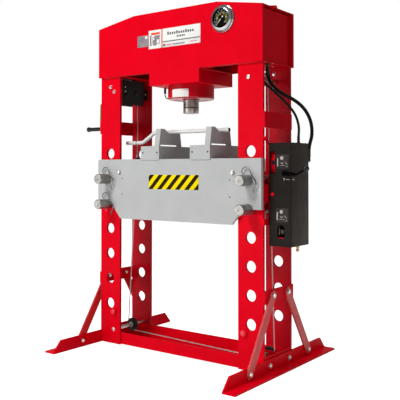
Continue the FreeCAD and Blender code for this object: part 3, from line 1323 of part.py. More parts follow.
for side_name, side in (("left", -1), ("right", 1)):
    for level, level_z in (("upper", PIN_HIGH_Z), ("lower", PIN_LOW_Z)):
        pin_name = "lock_pin_%s_%s" % (level, side_name)
        NODES[pin_name] = (lambda x=side * PIN_X, z=level_z, clipped=pin_name != BARE_PIN:
                           lock_pin(x, z, clipped))

os.makedirs("parts", exist_ok=True)
for name in sorted(NODES):
    shape = NODES[name]()
    box = shape.BoundBox
    print("%-20s valid %s solids %d volume %.0f  x %.1f %.1f  y %.1f %.1f  z %.1f %.1f" % (
        name, shape.isValid(), len(shape.Solids), shape.Volume, box.XMin, box.XMax,
        box.YMin, box.YMax, box.ZMin, box.ZMax))
    shape.exportStep("parts/" + name + ".step")
print(len(NODES), "nodes")
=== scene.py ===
# %% [markdown]
# # A hydraulic workshop press
# The CAD model gives every part its true place and size. This lesson dresses it: paint,
# plating, rubber, welds, labels and small hardware, each from how the real thing is made.
# Places are in metres, in the frame of the CAD model, with the front facing -Y. Turned
# outlines and printed marks are in millimetres, as on a drawing.

# %% Load the CAD frame
import json
import math

import bmesh
import bpy
from mathutils import Matrix, Vector


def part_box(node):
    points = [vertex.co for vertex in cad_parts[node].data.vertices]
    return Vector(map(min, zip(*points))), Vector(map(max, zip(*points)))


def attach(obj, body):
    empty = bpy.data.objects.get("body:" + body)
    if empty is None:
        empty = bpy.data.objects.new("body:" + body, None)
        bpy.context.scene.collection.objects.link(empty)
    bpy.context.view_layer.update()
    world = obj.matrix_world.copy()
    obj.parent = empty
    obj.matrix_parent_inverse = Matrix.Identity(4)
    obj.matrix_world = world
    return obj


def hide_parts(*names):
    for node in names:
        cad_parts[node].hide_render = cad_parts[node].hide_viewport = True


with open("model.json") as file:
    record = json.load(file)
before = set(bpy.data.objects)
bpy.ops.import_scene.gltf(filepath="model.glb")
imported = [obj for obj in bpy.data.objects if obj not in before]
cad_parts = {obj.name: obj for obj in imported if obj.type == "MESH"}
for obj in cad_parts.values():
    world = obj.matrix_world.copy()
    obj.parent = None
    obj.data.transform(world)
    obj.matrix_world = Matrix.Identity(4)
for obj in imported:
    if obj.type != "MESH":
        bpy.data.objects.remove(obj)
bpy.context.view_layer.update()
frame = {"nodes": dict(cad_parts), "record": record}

MM = 0.001
UP = Vector((0, 0, 1))
FRONT = Vector((0, -1, 0))
BACK = Vector((0, 1, 0))
RIGHT = Vector((1, 0, 0))


# %% Places taken from the CAD
def low(node):
    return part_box(node)[0]


def high(node):
    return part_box(node)[1]


def middle(node):
    return (low(node) + high(node)) / 2


POST_OUT_X = high("foot_ties").x
POST_MID_X = 500 * MM
POST_FACE = high("rear_posts").y
HEAD_FRONT_Y = low("head_front_plate").y
BED_FRONT_Y = low("bed_front_plate").y
print("posts end at x", round(POST_OUT_X, 3), "bed front y", round(BED_FRONT_Y, 4),
      "post faces y", round(POST_FACE, 4))

# %% [markdown]
# ## Camera and light
# The photograph looks from the right of the front, about a metre up, with the optical axis
# above the middle of the frame. A lens shift does that without tilting the posts. One large
# soft lamp stands high in front, a little to the left: the pins throw their shadows almost
# straight down, and the flanks on the right stay far darker than the fronts. A low lamp fills
# the fronts, one overhead lights the tops and a weak one the right foot and box.


# %% Camera
def camera_at(place, azimuth, pitch, lens, shift):
    data = bpy.data.cameras.new("photo_camera")
    data.lens = lens
    data.sensor_width = 36
    data.shift_y = shift
    data.clip_end = 100
    camera = bpy.data.objects.new("photo_camera", data)
    camera.location = place
    camera.rotation_euler = (math.radians(90 + pitch), 0, math.radians(azimuth))
    bpy.context.scene.collection.objects.link(camera)
    bpy.context.scene.camera = camera


camera_at((2.4224, -3.1867, 1.0507), 36.5, 1.0, 62.14, -0.1079)


# %% Soft lamps
def soft_lamp(name, place, target, size, watts):
    data = bpy.data.lights.new(name, "AREA")
    data.shape = "RECTANGLE"
    data.size, data.size_y = size
    data.energy = watts
    lamp = bpy.data.objects.new(name, data)
    lamp.location = place
    aim = Vector(target) - Vector(place)
    lamp.rotation_euler = aim.to_track_quat("-Z", "Y").to_euler()
    bpy.context.scene.collection.objects.link(lamp)


soft_lamp("high_softbox", (-1.0, -4.2, 4.9), (0, 0, 1.0), (1.5, 1.2), 195)
soft_lamp("low_softbox", (-2.6, -4.6, 1.0), (0, 0, 0.9), (2.4, 2.0), 55)
soft_lamp("side_softbox", (1.5, -0.8, 0.9), (0.8, -0.1, 0), (0.4, 0.4), 2.4)
soft_lamp("top_softbox", (0.5, 0.2, 4.3), (0.6, 0.1, 0), (0.6, 0.6), 42)
print("four lamps")

# %% [markdown]
# ## Materials
# Paint, plating and rubber differ mostly in how rough and how metallic they are. Every finish
# starts from a hex colour as a printer would give it, turned to linear light by one function.


# %% Colour and node helpers
def linear(hex_colour):
    channels = [int(hex_colour[i:i + 2], 16) / 255 for i in (1, 3, 5)]
    values = [c / 12.92 if c <= 0.04045 else ((c + 0.055) / 1.055) ** 2.4 for c in channels]
    return (*values, 1.0)


def add(tree, kind, inputs=None, **settings):
    """One node; an input is a value, a hex colour or another node's output."""
    made = tree.nodes.new("ShaderNode" + kind)
    for key, value in settings.items():
        setattr(made, key, value)
    for key, value in (inputs or {}).items():
        if isinstance(value, bpy.types.NodeSocket):
            tree.links.new(value, made.inputs[key])
        else:
            made.inputs[key].default_value = linear(value) if isinstance(value, str) else value
    return made


def new_material(name):
    material = bpy.data.materials.new(name)
    material.use_nodes = True
    tree = material.node_tree
    tree.nodes.clear()
    return material, tree


def patterned(name):
    """New material, its nodes and the object's own coordinates in metres."""
    material, tree = new_material(name)
    return material, tree, add(tree, "TexCoord").outputs["Object"]


def surface(material, tree, inputs):
    """Ends a material with one Principled surface."""
    skin = add(tree, "BsdfPrincipled", inputs)
    add(tree, "OutputMaterial", {"Surface": skin.outputs[0]})
    return material


def bumped(tree, height, strength, distance_mm, radius_mm=0.0):
    """Normal with a fine relief, over edges softened by radius_mm."""
    inputs = {"Height": height, "Strength": strength, "Distance": distance_mm * MM}
    if radius_mm:
        inputs["Normal"] = add(tree, "Bevel", {"Radius": radius_mm * MM}, samples=4).outputs[0]
    return add(tree, "Bump", inputs).outputs[0]


def noise(tree, place, size_mm, detail=2.0):
    """Cloudy pattern whose blobs are about size_mm across."""
    inputs = {"Scale": 1000 / size_mm, "Detail": detail, "Vector": place}
    return add(tree, "TexNoise", inputs).outputs["Fac"]


def spread(tree, value, start, end, low_out, high_out):
    return add(tree, "MapRange", {"Value": value, "From Min": start, "From Max": end,
                                  "To Min": low_out, "To Max": high_out}).outputs[0]


def mixed(tree, factor, first, second):
    return add(tree, "Mix", {0: factor, 6: first, 7: second}, data_type="RGBA").outputs[2]


def maths(tree, operation, first, second):
    return add(tree, "Math", {0: first, 1: second}, operation=operation).outputs[0]


# %% [markdown]
# ## Floor and backdrop
# A catalogue picture stands on white paper. The paper is a diffuse sheet with a little light
# of its own, so it comes out white and only the contact shadows show.


# %% Floor and backdrop
def paper_floor(name):
    """White paper: lifted to white for the camera, so that only shadows show on it."""
    material, tree = new_material(name)
    path = add(tree, "LightPath")
    seen = maths(tree, "MAXIMUM", path.outputs["Is Camera Ray"], path.outputs["Is Glossy Ray"])
    paper = add(tree, "BsdfDiffuse", {"Color": "#E6E6E6"})
    lift = add(tree, "Emission", {"Color": (1, 1, 1, 1), "Strength": 0.84})
    both = add(tree, "AddShader", {0: paper.outputs[0], 1: lift.outputs[0]})
    mix = add(tree, "MixShader", {0: seen, 1: paper.outputs[0], 2: both.outputs[0]})
    add(tree, "OutputMaterial", {"Surface": mix.outputs[0]})
    return material


floor_mesh = bmesh.new()
bmesh.ops.create_grid(floor_mesh, x_segments=1, y_segments=1, size=30)
floor_data = bpy.data.meshes.new("floor")
floor_mesh.to_mesh(floor_data)
floor_mesh.free()
floor = bpy.data.objects.new("floor", floor_data)
bpy.context.scene.collection.objects.link(floor)
floor_data.materials.append(paper_floor("white_paper_floor"))

world = bpy.data.worlds.new("white_room")
bpy.context.scene.world = world
world.use_nodes = True
room = world.node_tree
room.nodes.clear()
ray = add(room, "LightPath")
shown = maths(room, "MAXIMUM", ray.outputs["Is Camera Ray"], ray.outputs["Is Transmission Ray"])
mirror = spread(room, ray.outputs["Is Glossy Ray"], 0, 1, 0.2, 0.34)
strength = add(room, "Mix", {0: shown, 2: mirror, 3: 1.0}, data_type="FLOAT")
air = add(room, "Background", {"Color": (1, 1, 1, 1), "Strength": strength.outputs[0]})
add(room, "OutputWorld", {"Surface": air.outputs[0]})
bpy.context.scene.view_settings.view_transform = "Standard"
print("white floor and white room")

# %% [markdown]
# ## Paint, metal, rope, film and glass
# Sprayed enamel has faint clouds, an orange peel too fine to see from afar and edges where
# the coat is thin, in an edge colour that is a painted highlight where it is paler. Plated and
# ground steel has a grain drawn along the way it was turned or rolled. The rope, the striped
# film and the gauge glass each get a material of their own.
# All patterns use object coordinates, so their scale is the real one in millimetres.


# %% Paint
def rubbed_and_highlit_edges(tree, place, radius_mm):
    """1 along edges, where the finish's edge colour shows: rubbed paint, and where that colour
    is paler, a painted highlight. The rounded normal leaves the flat one there, and blobs 8 mm
    across break the line up."""
    rounded = add(tree, "Bevel", {"Radius": radius_mm * MM}, samples=4)
    flat = add(tree, "NewGeometry")
    match = add(tree, "VectorMath", {0: rounded.outputs[0], 1: flat.outputs["Normal"]},
                operation="DOT_PRODUCT")
    edge = spread(tree, match.outputs["Value"], 0.97, 0.8, 0, 1)
    chips = spread(tree, noise(tree, place, 8, 4), 0.52, 0.66, 0, 1)
    return maths(tree, "MULTIPLY", edge, chips)


def sprayed_paint(name, colour, shade, rough, rubbed_and_highlit_colour, shine=0.03, peel_mm=2.5, peel=0.06,
                  edge_mm=1.2):
    """Enamel sprayed on steel: clouds 160 mm across a few percent darker, smears 45 mm
    across, orange peel of peel_mm, softened edges in their own colour: rubbed paint, and
    where that colour is paler, a painted highlight."""
    material, tree, place = patterned(name)
    tone = spread(tree, noise(tree, place, 160, 3), 0.35, 0.65, 0, 1)
    # Edge mask: rubbed paint, and where the edge colour is paler, a painted highlight.
    rubbed_and_highlit = rubbed_and_highlit_edges(tree, place, edge_mm * 1.5)
    smear = spread(tree, noise(tree, place, 45, 5), 0.4, 0.7, rough - 0.04, rough + 0.08)
    relief = bumped(tree, noise(tree, place, peel_mm, 1), peel, 0.5, edge_mm)
    base = mixed(tree, rubbed_and_highlit, mixed(tree, tone, colour, shade), rubbed_and_highlit_colour)
    return surface(material, tree, {"Specular IOR Level": shine, "Base Color": base,
                                    "Roughness": smear, "Normal": relief})


# %% Bare and plated metal
def plated_metal(name, colour, shade, rough, grain=(1, 1, 1), grain_mm=1.5, bump_by=0.04,
                 metallic=1.0, edge_mm=0.8):
    """Metal with a fine grain of grain_mm, drawn out along the axis whose scale in grain is
    smallest, and stains 40 mm across."""
    material, tree, place = patterned(name)
    drawn = add(tree, "Mapping", {"Scale": grain, "Vector": place})
    fine = noise(tree, drawn.outputs[0], grain_mm, 2)
    stain = spread(tree, noise(tree, place, 40, 4), 0.35, 0.7, 0, 1)
    rougher = spread(tree, fine, 0.2, 0.8, max(0.02, rough - 0.07), rough + 0.1)
    return surface(material, tree, {"Metallic": metallic, "Roughness": rougher,
                                    "Base Color": mixed(tree, stain, colour, shade),
                                    "Normal": bumped(tree, fine, bump_by, 0.3, edge_mm)})


# %% Twisted rope
def twisted_rope(name, colour, shade):
    """Strands that lie aslant across the rope, 4.5 mm from one to the next."""
    material, tree, place = patterned(name)
    strands = add(tree, "TexWave", {"Scale": 80.0, "Distortion": 0.4, "Vector": place},
                  bands_direction="DIAGONAL").outputs["Fac"]
    return surface(material, tree, {"Metallic": 0.9, "Roughness": 0.32,
                                    "Base Color": mixed(tree, strands, shade, colour),
                                    "Normal": bumped(tree, strands, 0.6, 0.8)})


# %% Striped film
def hazard_film(name, yellow, black, pitch_mm, lean, shift_mm):
    """Yellow and black bands, pitch_mm from one to the next, leaning right as they rise;
    smears 30 mm across in the gloss."""
    material, tree, place = patterned(name)
    split = add(tree, "SeparateXYZ", {0: place})
    slope = maths(tree, "MULTIPLY", split.outputs["Z"], lean)
    across = maths(tree, "SUBTRACT", split.outputs["X"], slope)
    across = maths(tree, "ADD", across, shift_mm * MM)
    turns = maths(tree, "MULTIPLY", across, 1000 / pitch_mm)
    band = maths(tree, "GREATER_THAN", maths(tree, "FRACT", turns, 0), 0.5)
    fleck = spread(tree, noise(tree, place, 30, 4), 0.3, 0.7, 0.3, 0.42)
    return surface(material, tree, {"Specular IOR Level": 0.03, "Roughness": fleck,
                                    "Base Color": mixed(tree, band, yellow, black)})


# %% Gauge glass
def clear_pane(name):
    material, tree = new_material(name)
    return surface(material, tree, {"Base Color": (0.01, 0.01, 0.01, 1), "Roughness": 0.02,
                                    "Alpha": 0.02, "Specular IOR Level": 0.05})


# %% [markdown]
# ## The finishes
# Name, colour, darker cloud colour, roughness and, for paint, the colour of rubbed edges
# (where paler, a painted highlight) and the strength of its shine. Several reds and blacks
# stand on one press, so each has its own entry here: a darker red paints shade on the rear
# posts and the barrel, a paler red paints reflection on the foot struts, a brighter red paints
# highlights on the stop pegs, a lighter black paints reflection on the pump box's side, and
# the rope's pinkish grey paints a highlight and the red frame's reflection.

# %% The finishes
RED = sprayed_paint("red_enamel", "#EA001C", "#E2001A", 0.36, "#FF4A58")
GREY = sprayed_paint("light_grey_enamel", "#C0C2C1", "#BABCBB", 0.45, "#DADCDC", 0.15)
ZINC = plated_metal("bright_zinc_plate", "#D4D3CC", "#B7B6AE", 0.3)
TURNED_ZINC = plated_metal("turned_zinc_plate", "#A4A39F", "#868581", 0.41, (1, 0.12, 1), 1.2,
                           0.08)
BAR_WHITE = sprayed_paint("off_white_lacquer", "#EDEDEB", "#E4E4E2", 0.35, "#B9B9B8", 0.3)
WIRE = plated_metal("spring_wire", "#8A8988", "#5C5C5C", 0.3)
STEEL = plated_metal("bare_steel", "#97989A", "#7C7D80", 0.4)
RAM_STEEL = plated_metal("ground_ram_steel", "#A89E98", "#8A807B", 0.34, (1, 1, 0.1), 1.0)
CHROME = plated_metal("polished_chrome", "#B4B3B3", "#9C9A9A", 0.13, bump_by=0.0)
DIAL = sprayed_paint("printed_black_dial", "#0C0B08", "#100F0B", 0.6, "#0C0B08", 0.02)
BELLOWS = sprayed_paint("folded_black_rubber", "#040404", "#060606", 0.7, "#0C0C0C", 0.02)
OLD_BRASS = plated_metal("dulled_brass", "#6B4A33", "#4A382C", 0.4)
OLIVE = sprayed_paint("olive_dial_ink", "#6E6B16", "#5F5C12", 0.6, "#6E6B16", 0.02)
WHITE = sprayed_paint("white_ink", "#F4F4F0", "#ECECE8", 0.4, "#F4F4F0", 0.2)
POWDER = sprayed_paint("black_powder_coat", "#201B18", "#1B1714", 0.5, "#38322F", 0.08, 1.6,
                       0.14)
WINCH_PAINT = sprayed_paint("black_winch_paint", "#1E1614", "#181211", 0.42, "#3A302C", 0.15)
IRON = plated_metal("oiled_cast_iron", "#3F4043", "#2B2C2E", 0.5, grain_mm=3.0, bump_by=0.2,
                    metallic=0.7)
BRONZE = plated_metal("yellow_chromate_steel", "#9C7336", "#6F4E2A", 0.36)
PLASTIC = sprayed_paint("moulded_black_plastic", "#0E0E0F", "#121213", 0.3, "#1C1C1E", 0.25,
                        3.0)
BRASS = plated_metal("turned_brass", "#B29868", "#8E764C", 0.32)
RUBBER = sprayed_paint("smooth_black_rubber", "#141414", "#1A1918", 0.5, "#1C1C1E", 0.06, 1.2,
                       0.1)
# The rope's light pinkish grey paints a highlight and the reflection of the red frame over the
# grey of galvanised steel.
ROPE_WITH_PAINTED_SHEEN = twisted_rope("galvanised_wire_rope_with_painted_pink_sheen", "#CDB4B4", "#927A7A")
GLASS = clear_pane("clear_gauge_glass")
# Stop pegs: a brighter red with pale pink edges, as painted highlights.
HIGHLIT_RED = sprayed_paint("red_enamel_with_painted_highlights", "#F4182E", "#E41026", 0.3, "#FF8890", 0.5, edge_mm=2)
# Foot struts: a paler, pinkish red that paints the reflection of the white room on them, with
# near-white edges as painted highlights.
REFLECTION_PALED_RED = sprayed_paint("red_enamel_paled_as_painted_reflection", "#D6302F", "#CC2A2A", 0.42, "#FFD0D0", 0.45,
                          edge_mm=2.2)
GLOSS_RED = sprayed_paint("glossy_red_enamel", "#CE001B", "#C40019", 0.26, "#F04858", 0.45)
# A darker red for the rear posts and the cylinder barrel: painted shade.
SHADE_DARKENED_RED = sprayed_paint("red_enamel_darkened_as_painted_shade", "#CC001B", "#C40019", 0.34, "#F04858", 0.08)
# Pump box's right side: a lighter brown-black that paints the reflection on that side.
BOX_SIDE_PAINTED_REFLECTION = sprayed_paint("black_powder_coat_lightened_as_painted_reflection", "#3C3430", "#352E2A", 0.55, "#4A423E", 0.1,
                         1.6, 0.12)
FINISHES = {
    "frame_red": RED, "bed_grey": GREY, "zinc_steel": ZINC, "cylinder_steel": STEEL,
    "ram_chrome": RAM_STEEL, "gauge_chrome": CHROME, "dial_black": DIAL, "needle_white": WHITE,
    "gauge_window": GLASS, "box_black": POWDER, "block_iron": IRON, "crank_bronze": BRONZE,
    "grip_black": PLASTIC, "fitting_brass": BRASS, "hose_rubber": RUBBER, "rope_steel": ROPE_WITH_PAINTED_SHEEN,
    "plate_white": WHITE,
}

# %% [markdown]
# ## Dressing the CAD parts
# Every CAD part names a material slot, so most get their finish from one table. A few parts
# of the same slot are dressed by name: the winch in black paint, the foot struts in a paler
# red that paints their reflection and the rear posts in a darker red that paints their shade.

# %% Dress the CAD nodes
slot_of = {part["node"]: part["material_slot"] for part in frame["record"]["subparts"]}
for name, obj in frame["nodes"].items():
    obj.data.materials.clear()
    obj.data.materials.append(FINISHES[slot_of[name]])
for name in ("winch_housing", "bleed_tube"):
    frame["nodes"][name].data.materials[0] = WINCH_PAINT
# The foot struts take the paler red: painted reflection and edge highlights.
frame["nodes"]["foot_struts"].data.materials[0] = REFLECTION_PALED_RED
# The rear posts take the darker red as painted shade.
frame["nodes"]["rear_posts"].data.materials[0] = SHADE_DARKENED_RED
print("dressed", len(slot_of), "nodes in", len(FINISHES), "finishes")


# %% [markdown]
# ## How a piece is made
# Most small parts of a machine are turned, cut from plate or bent from bar. So three helpers
# make most shapes here: an outline spun round an axis, a flat outline pushed to a thickness
# and a tube along a line. Each piece then rides on the body of the CAD part that carries it.


# %% Piece helpers
def place_piece(name, data, finish, body="frame", stands_for=()):
    data.materials.append(finish)
    piece = bpy.data.objects.new(name, data)
    bpy.context.scene.collection.objects.link(piece)
    if stands_for:
        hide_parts(*stands_for)
    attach(piece, body)
    return piece


def as_piece(name, bm, finish, body="frame", slot=None, stands_for=(), sharp=32):
    """Turns a bmesh into a piece: outward normals, smooth up to sharp edges, on a body."""
    bmesh.ops.remove_doubles(bm, verts=bm.verts, dist=1e-6)
    bmesh.ops.recalc_face_normals(bm, faces=bm.faces)
    mesh = bpy.data.meshes.new(name)
    bm.to_mesh(mesh)
    bm.free()
    mesh.shade_smooth()
    mesh.set_sharp_from_angle(angle=math.radians(sharp))
    return place_piece(name, mesh, finish, body, stands_for)


def stands(node):
    """Slot and node of a piece that takes a CAD part's place."""
    return {"slot": slot_of[node], "stands_for": (node,)}


def aimed(base, axis):
    turn = UP.rotation_difference(Vector(axis)).to_matrix().to_4x4()
    return Matrix.Translation(Vector(base)) @ turn


def add_turned(bm, profile, base, axis, steps=48):
    """(radius, height) outline in mm, spun all the way round axis."""
    place = aimed(base, axis)
    verts = [bm.verts.new(place @ Vector((r * MM, 0, h * MM))) for r, h in profile]
    edges = [bm.edges.new(pair) for pair in zip(verts, verts[1:])]
    bmesh.ops.spin(bm, geom=verts + edges, cent=base, axis=axis, dvec=(0, 0, 0),
                   angle=2 * math.pi, steps=steps, use_merge=True)


def turned_set(name, finish, parts, steps=48, **rest):
    """One piece of several turned outlines, each (profile, base, axis); rest goes to
    as_piece."""
    bm = bmesh.new()
    for profile, base, axis in parts:
        add_turned(bm, profile, base, axis, steps)
    return as_piece(name, bm, finish, **rest)


def turned(name, profile, base, axis, finish, steps=48, **rest):
    return turned_set(name, finish, [(profile, base, axis)], steps, **rest)


def soften(bm, edges, offset, segments=2):
    bmesh.ops.bevel(bm, geom=list(edges), offset=offset, affect="EDGES", segments=segments,
                    profile=0.5, material=-1)


def add_box(bm, corner_a, corner_b, bevel=0.8 * MM):
    a = Vector(corner_a)
    b = Vector(corner_b)
    size = [abs(b[i] - a[i]) for i in range(3)]
    matrix = Matrix.Translation((a + b) / 2) @ Matrix.Diagonal((*size, 1))
    made = bmesh.ops.create_cube(bm, size=1, matrix=matrix)
    if bevel:
        edges = {edge for vert in made["verts"] for edge in vert.link_edges}
        soften(bm, edges, min(bevel, min(size) * 0.4))


def add_rod(bm, start, end, radius, segments=24, bevel=0.0):
    a = Vector(start)
    b = Vector(end)
    place = aimed((a + b) / 2, (b - a).normalized())
    made = bmesh.ops.create_cone(bm, cap_ends=True, segments=segments, radius1=radius,
                                 radius2=radius, depth=(b - a).length, matrix=place)
    if bevel:
        soften(bm, {edge for vert in made["verts"] for edge in vert.link_edges
                    if any(len(face.verts) == segments for face in edge.link_faces)}, bevel)


def add_plate(bm, outline, step):
    """Flat outline of 3-D points, pushed along step."""
    face = bm.faces.new([bm.verts.new(Vector(p)) for p in outline])
    pushed = bmesh.ops.extrude_face_region(bm, geom=[face])
    moved = [item for item in pushed["geom"] if isinstance(item, bmesh.types.BMVert)]
    bmesh.ops.translate(bm, verts=moved, vec=Vector(step))


def tube(name, points, radius, finish, body="frame", slot=None, stands_for=(), sides=3):
    """Round bar or hose along a smooth line through control points."""
    data = bpy.data.curves.new(name, "CURVE")
    data.dimensions = "3D"
    data.bevel_depth = radius
    data.bevel_resolution = sides
    data.resolution_u = 8
    data.use_fill_caps = True
    line = data.splines.new("NURBS")
    line.points.add(len(points) - 1)
    for spot, point in zip(line.points, points):
        spot.co = (*point, 1)
    line.order_u = 3
    line.use_endpoint_u = True
    return place_piece(name, data, finish, body, stands_for)


# %% [markdown]
# ## The two hoses
# The thick pressure hose and the thinner return hose leave brass unions under the head, swing
# out and back, and run down to the pump box. Real hoses are cut to length and crimped into
# steel sleeves, so each gets a sleeve with pressed ridges at both ends.

# %% Hoses
PRESSURE_PATH = [(558, -70, 1585), (558, -70, 1538), (575, -60, 1490), (612, -25, 1448),
                 (655, 35, 1418), (690, 90, 1372), (709, 128, 1305), (712, 134, 1230),
                 (708, 100, 1168), (708, 100, 1118)]
RETURN_PATH = [(536, -104, 1590), (536, -104, 1545), (543, -102, 1513), (570, -88, 1483),
               (612, -55, 1437), (652, -20, 1385), (684, 3, 1333), (699, 12, 1270),
               (693, 15, 1222), (693, 15, 1190)]


def crimp_sleeve(name, end, toward, inner, length):
    """Sleeve with five pressed ridges over a hose end, sizes in mm."""
    skin = inner + 1.6
    profile = [(inner, 0), (skin, 0)]
    for step in range(5):
        start = length * (0.12 + 0.16 * step)
        profile += [(skin, start), (skin - 0.9, start + 0.03 * length),
                    (skin - 0.9, start + 0.1 * length), (skin, start + 0.13 * length)]
    return turned(name, profile + [(skin, length), (inner, length)], end, toward, PLASTIC)


def hose(name, path, radius, sleeve):
    """Hose along the path's points, given in mm; its radius and its sleeves' length are in mm
    too.
    """
    points = [Vector(p) * MM for p in path]
    line = tube(name, points, radius * MM, RUBBER, sides=5, **stands(name))
    line.data.resolution_u = 16
    for tag, here, after in (("top", points[0], points[1]), ("low", points[-1], points[-2])):
        aim = (after - here).normalized()
        crimp_sleeve(name + "_sleeve_" + tag, here, aim, radius, sleeve)


def union_nut(bm, place, radius, length):
    """Six-sided swivel nut, upright, with a turned collar under it, sizes in mm."""
    centre = Vector(place) + UP * length * MM / 2
    bmesh.ops.create_cone(bm, cap_ends=True, segments=6, radius1=radius * MM,
                          radius2=radius * MM, depth=length * 0.7 * MM,
                          matrix=Matrix.Translation(centre))
    collar = radius * 0.8
    add_turned(bm, [(0, 0), (collar, 0), (collar, length), (0, length)], place, UP, 24)


unions = bmesh.new()
union_nut(unions, (0.558, -0.070, 1.585), 11.5, 19.5)
union_nut(unions, (0.536, -0.104, 1.590), 9, 14.5)
as_piece("head_unions", unions, OLD_BRASS, **stands("hose_fittings"))
box_end = bmesh.new()
union_nut(box_end, (0.693, 0.015, 1.1845), 9, 6)
add_rod(box_end, (0.708, 0.100, 1.118), (0.708, 0.100, 1.094), 9 * MM)
add_rod(box_end, (0.708, 0.104, 1.096), (0.708, 0.070, 1.096), 8 * MM)
bmesh.ops.create_uvsphere(box_end, u_segments=24, v_segments=16, radius=10 * MM,
                          matrix=Matrix.Translation((0.708, 0.100, 1.096)))
as_piece("box_unions", box_end, PLASTIC, **stands("hose_fittings"))
hose("pressure_hose", PRESSURE_PATH, 9.25, 42)
hose("return_hose", RETURN_PATH, 6.5, 30)
print("two hoses with four crimped sleeves")

# %% [markdown]
# ## Lock pins and spring clips
# Each pin is turned from 57 mm bar, chamfered, centre-drilled for the lathe and zinc plated;
# the plating keeps fine turning rings. A sprung wire clip through a cross hole stops it
# sliding out. One pin has lost its clip.

# %% Pins
PIN_Z = {"upper": 990.8 * MM, "lower": 840.8 * MM}
PIN_R = 28.5
PIN_FRONT = low("lock_pin_upper_left").y
PIN_LONG = (high("lock_pin_upper_left").y - PIN_FRONT) / MM
PIN_PROFILE = [(0, 4.5), (3, 2), (3.6, 0.3), (5, 0), (PIN_R * 0.6, -0.2), (PIN_R - 3, 0),
               (PIN_R - 0.8, 1.65), (PIN_R, 3), (PIN_R, PIN_LONG - 3), (PIN_R - 3, PIN_LONG),
               (0, PIN_LONG)]
CLIP_Y = -185 * MM
CLIP_LINE = [(0, -41), (0, -10), (0, 12), (-14, 22), (-33, 45), (-22, 66), (0, 70), (18, 55),
             (25, 31), (45, 10), (58, -14), (50, -38), (36, -50), (46, -62)]


def lock_pin(row, side):
    tail = row + ("_left" if side < 0 else "_right")
    node = "lock_pin_" + tail
    x = side * POST_MID_X
    z = PIN_Z[row]
    turned(node + "_turned", PIN_PROFILE, (x, PIN_FRONT, z), BACK, TURNED_ZINC, 64,
           body="pin_" + tail, sharp=24, **stands(node))
    if tail != "lower_right":
        wire = [(x + dx * MM, CLIP_Y, z + dz * MM) for dx, dz in CLIP_LINE]
        tube(node + "_clip", wire, 2.7 * MM, WIRE, "pin_" + tail, **stands(node))


for row in PIN_Z:
    for side in (-1, 1):
        lock_pin(row, side)
print("four pins, three clips")

# %% [markdown]
# ## Lever bar
# The pump lever is a 22 mm steel bar that lies in the notches of the press blocks when it is
# not in use. It is bent cold, so its elbows are round. It has a collar and a black plug on one
# end and two rings near the other.

# %% Lever bar
BAR_Y = middle("pump_bar").y
BAR_R = 11
BAR_Z = 1264 * MM
BAR_LOW_Z = 1207 * MM
BAR_LEFT_X = low("pump_bar").x
BAR_RIGHT_X = high("pump_bar").x


def elbow(before, corner, after, reach):
    """Three points that turn a corner smoothly."""
    back = (before - corner).normalized() * reach
    ahead = (after - corner).normalized() * reach
    return [corner + back, corner, corner + ahead]


bar_corners = [Vector((BAR_LEFT_X, BAR_Y, BAR_LOW_Z)), Vector((-0.306, BAR_Y, BAR_LOW_Z)),
               Vector((-0.215, BAR_Y, BAR_Z)), Vector((BAR_RIGHT_X - 0.004, BAR_Y, BAR_Z))]
bar_line = [bar_corners[0]]
bar_line += elbow(*bar_corners[:3], 0.028)
bar_line += elbow(*bar_corners[1:], 0.028)
bar_line.append(bar_corners[3])
tube("lever_bar", bar_line, BAR_R * MM, BAR_WHITE, sides=6, **stands("pump_bar"))
turned("lever_bar_cap", [(0, 27), (BAR_R - 3, 27), (BAR_R + 0.5, 25.5), (BAR_R + 2, 22),
                         (BAR_R + 2, 1), (BAR_R, 0)],
       (BAR_RIGHT_X - 27 * MM, BAR_Y, BAR_Z), RIGHT, BAR_WHITE, **stands("pump_bar"))
RING = [(BAR_R, 0), (BAR_R + 1.6, 0), (BAR_R + 2, 0.8), (BAR_R + 2, 3.2), (BAR_R + 1.6, 4),
        (BAR_R, 4)]
turned_set("lever_bar_rings", ZINC, [(RING, (x, BAR_Y, BAR_LOW_Z), -RIGHT)
                                     for x in (-0.347, -0.354)], **stands("pump_bar"))
turned("lever_bar_plug", [(0, 1.4), (6, 1.4), (BAR_R - 1, 0.2), (BAR_R - 0.4, -1.4)],
       (BAR_RIGHT_X, BAR_Y, BAR_Z), RIGHT, PLASTIC)
print("lever bar with cap, plug and rings")

# %% [markdown]
# ## Cylinder and ram
# The cylinder hangs below the head, painted with the frame; its lower edge is turned round
# and a gland closes it. The ram is ground steel with a retaining groove, two dark rings and
# grub screws. The rim and gland face down and catch a glossy light, so they have a finish of
# their own. A bare white plate is bent to the barrel and held by its adhesive.

# %% Cylinder
BARREL_R = 134
BORE_R = 100
RAM_R = 45
BARREL_FOOT = Vector((0, 0, low("cylinder_barrel").z))
BARREL_H = (high("cylinder_barrel").z - BARREL_FOOT.z) / MM

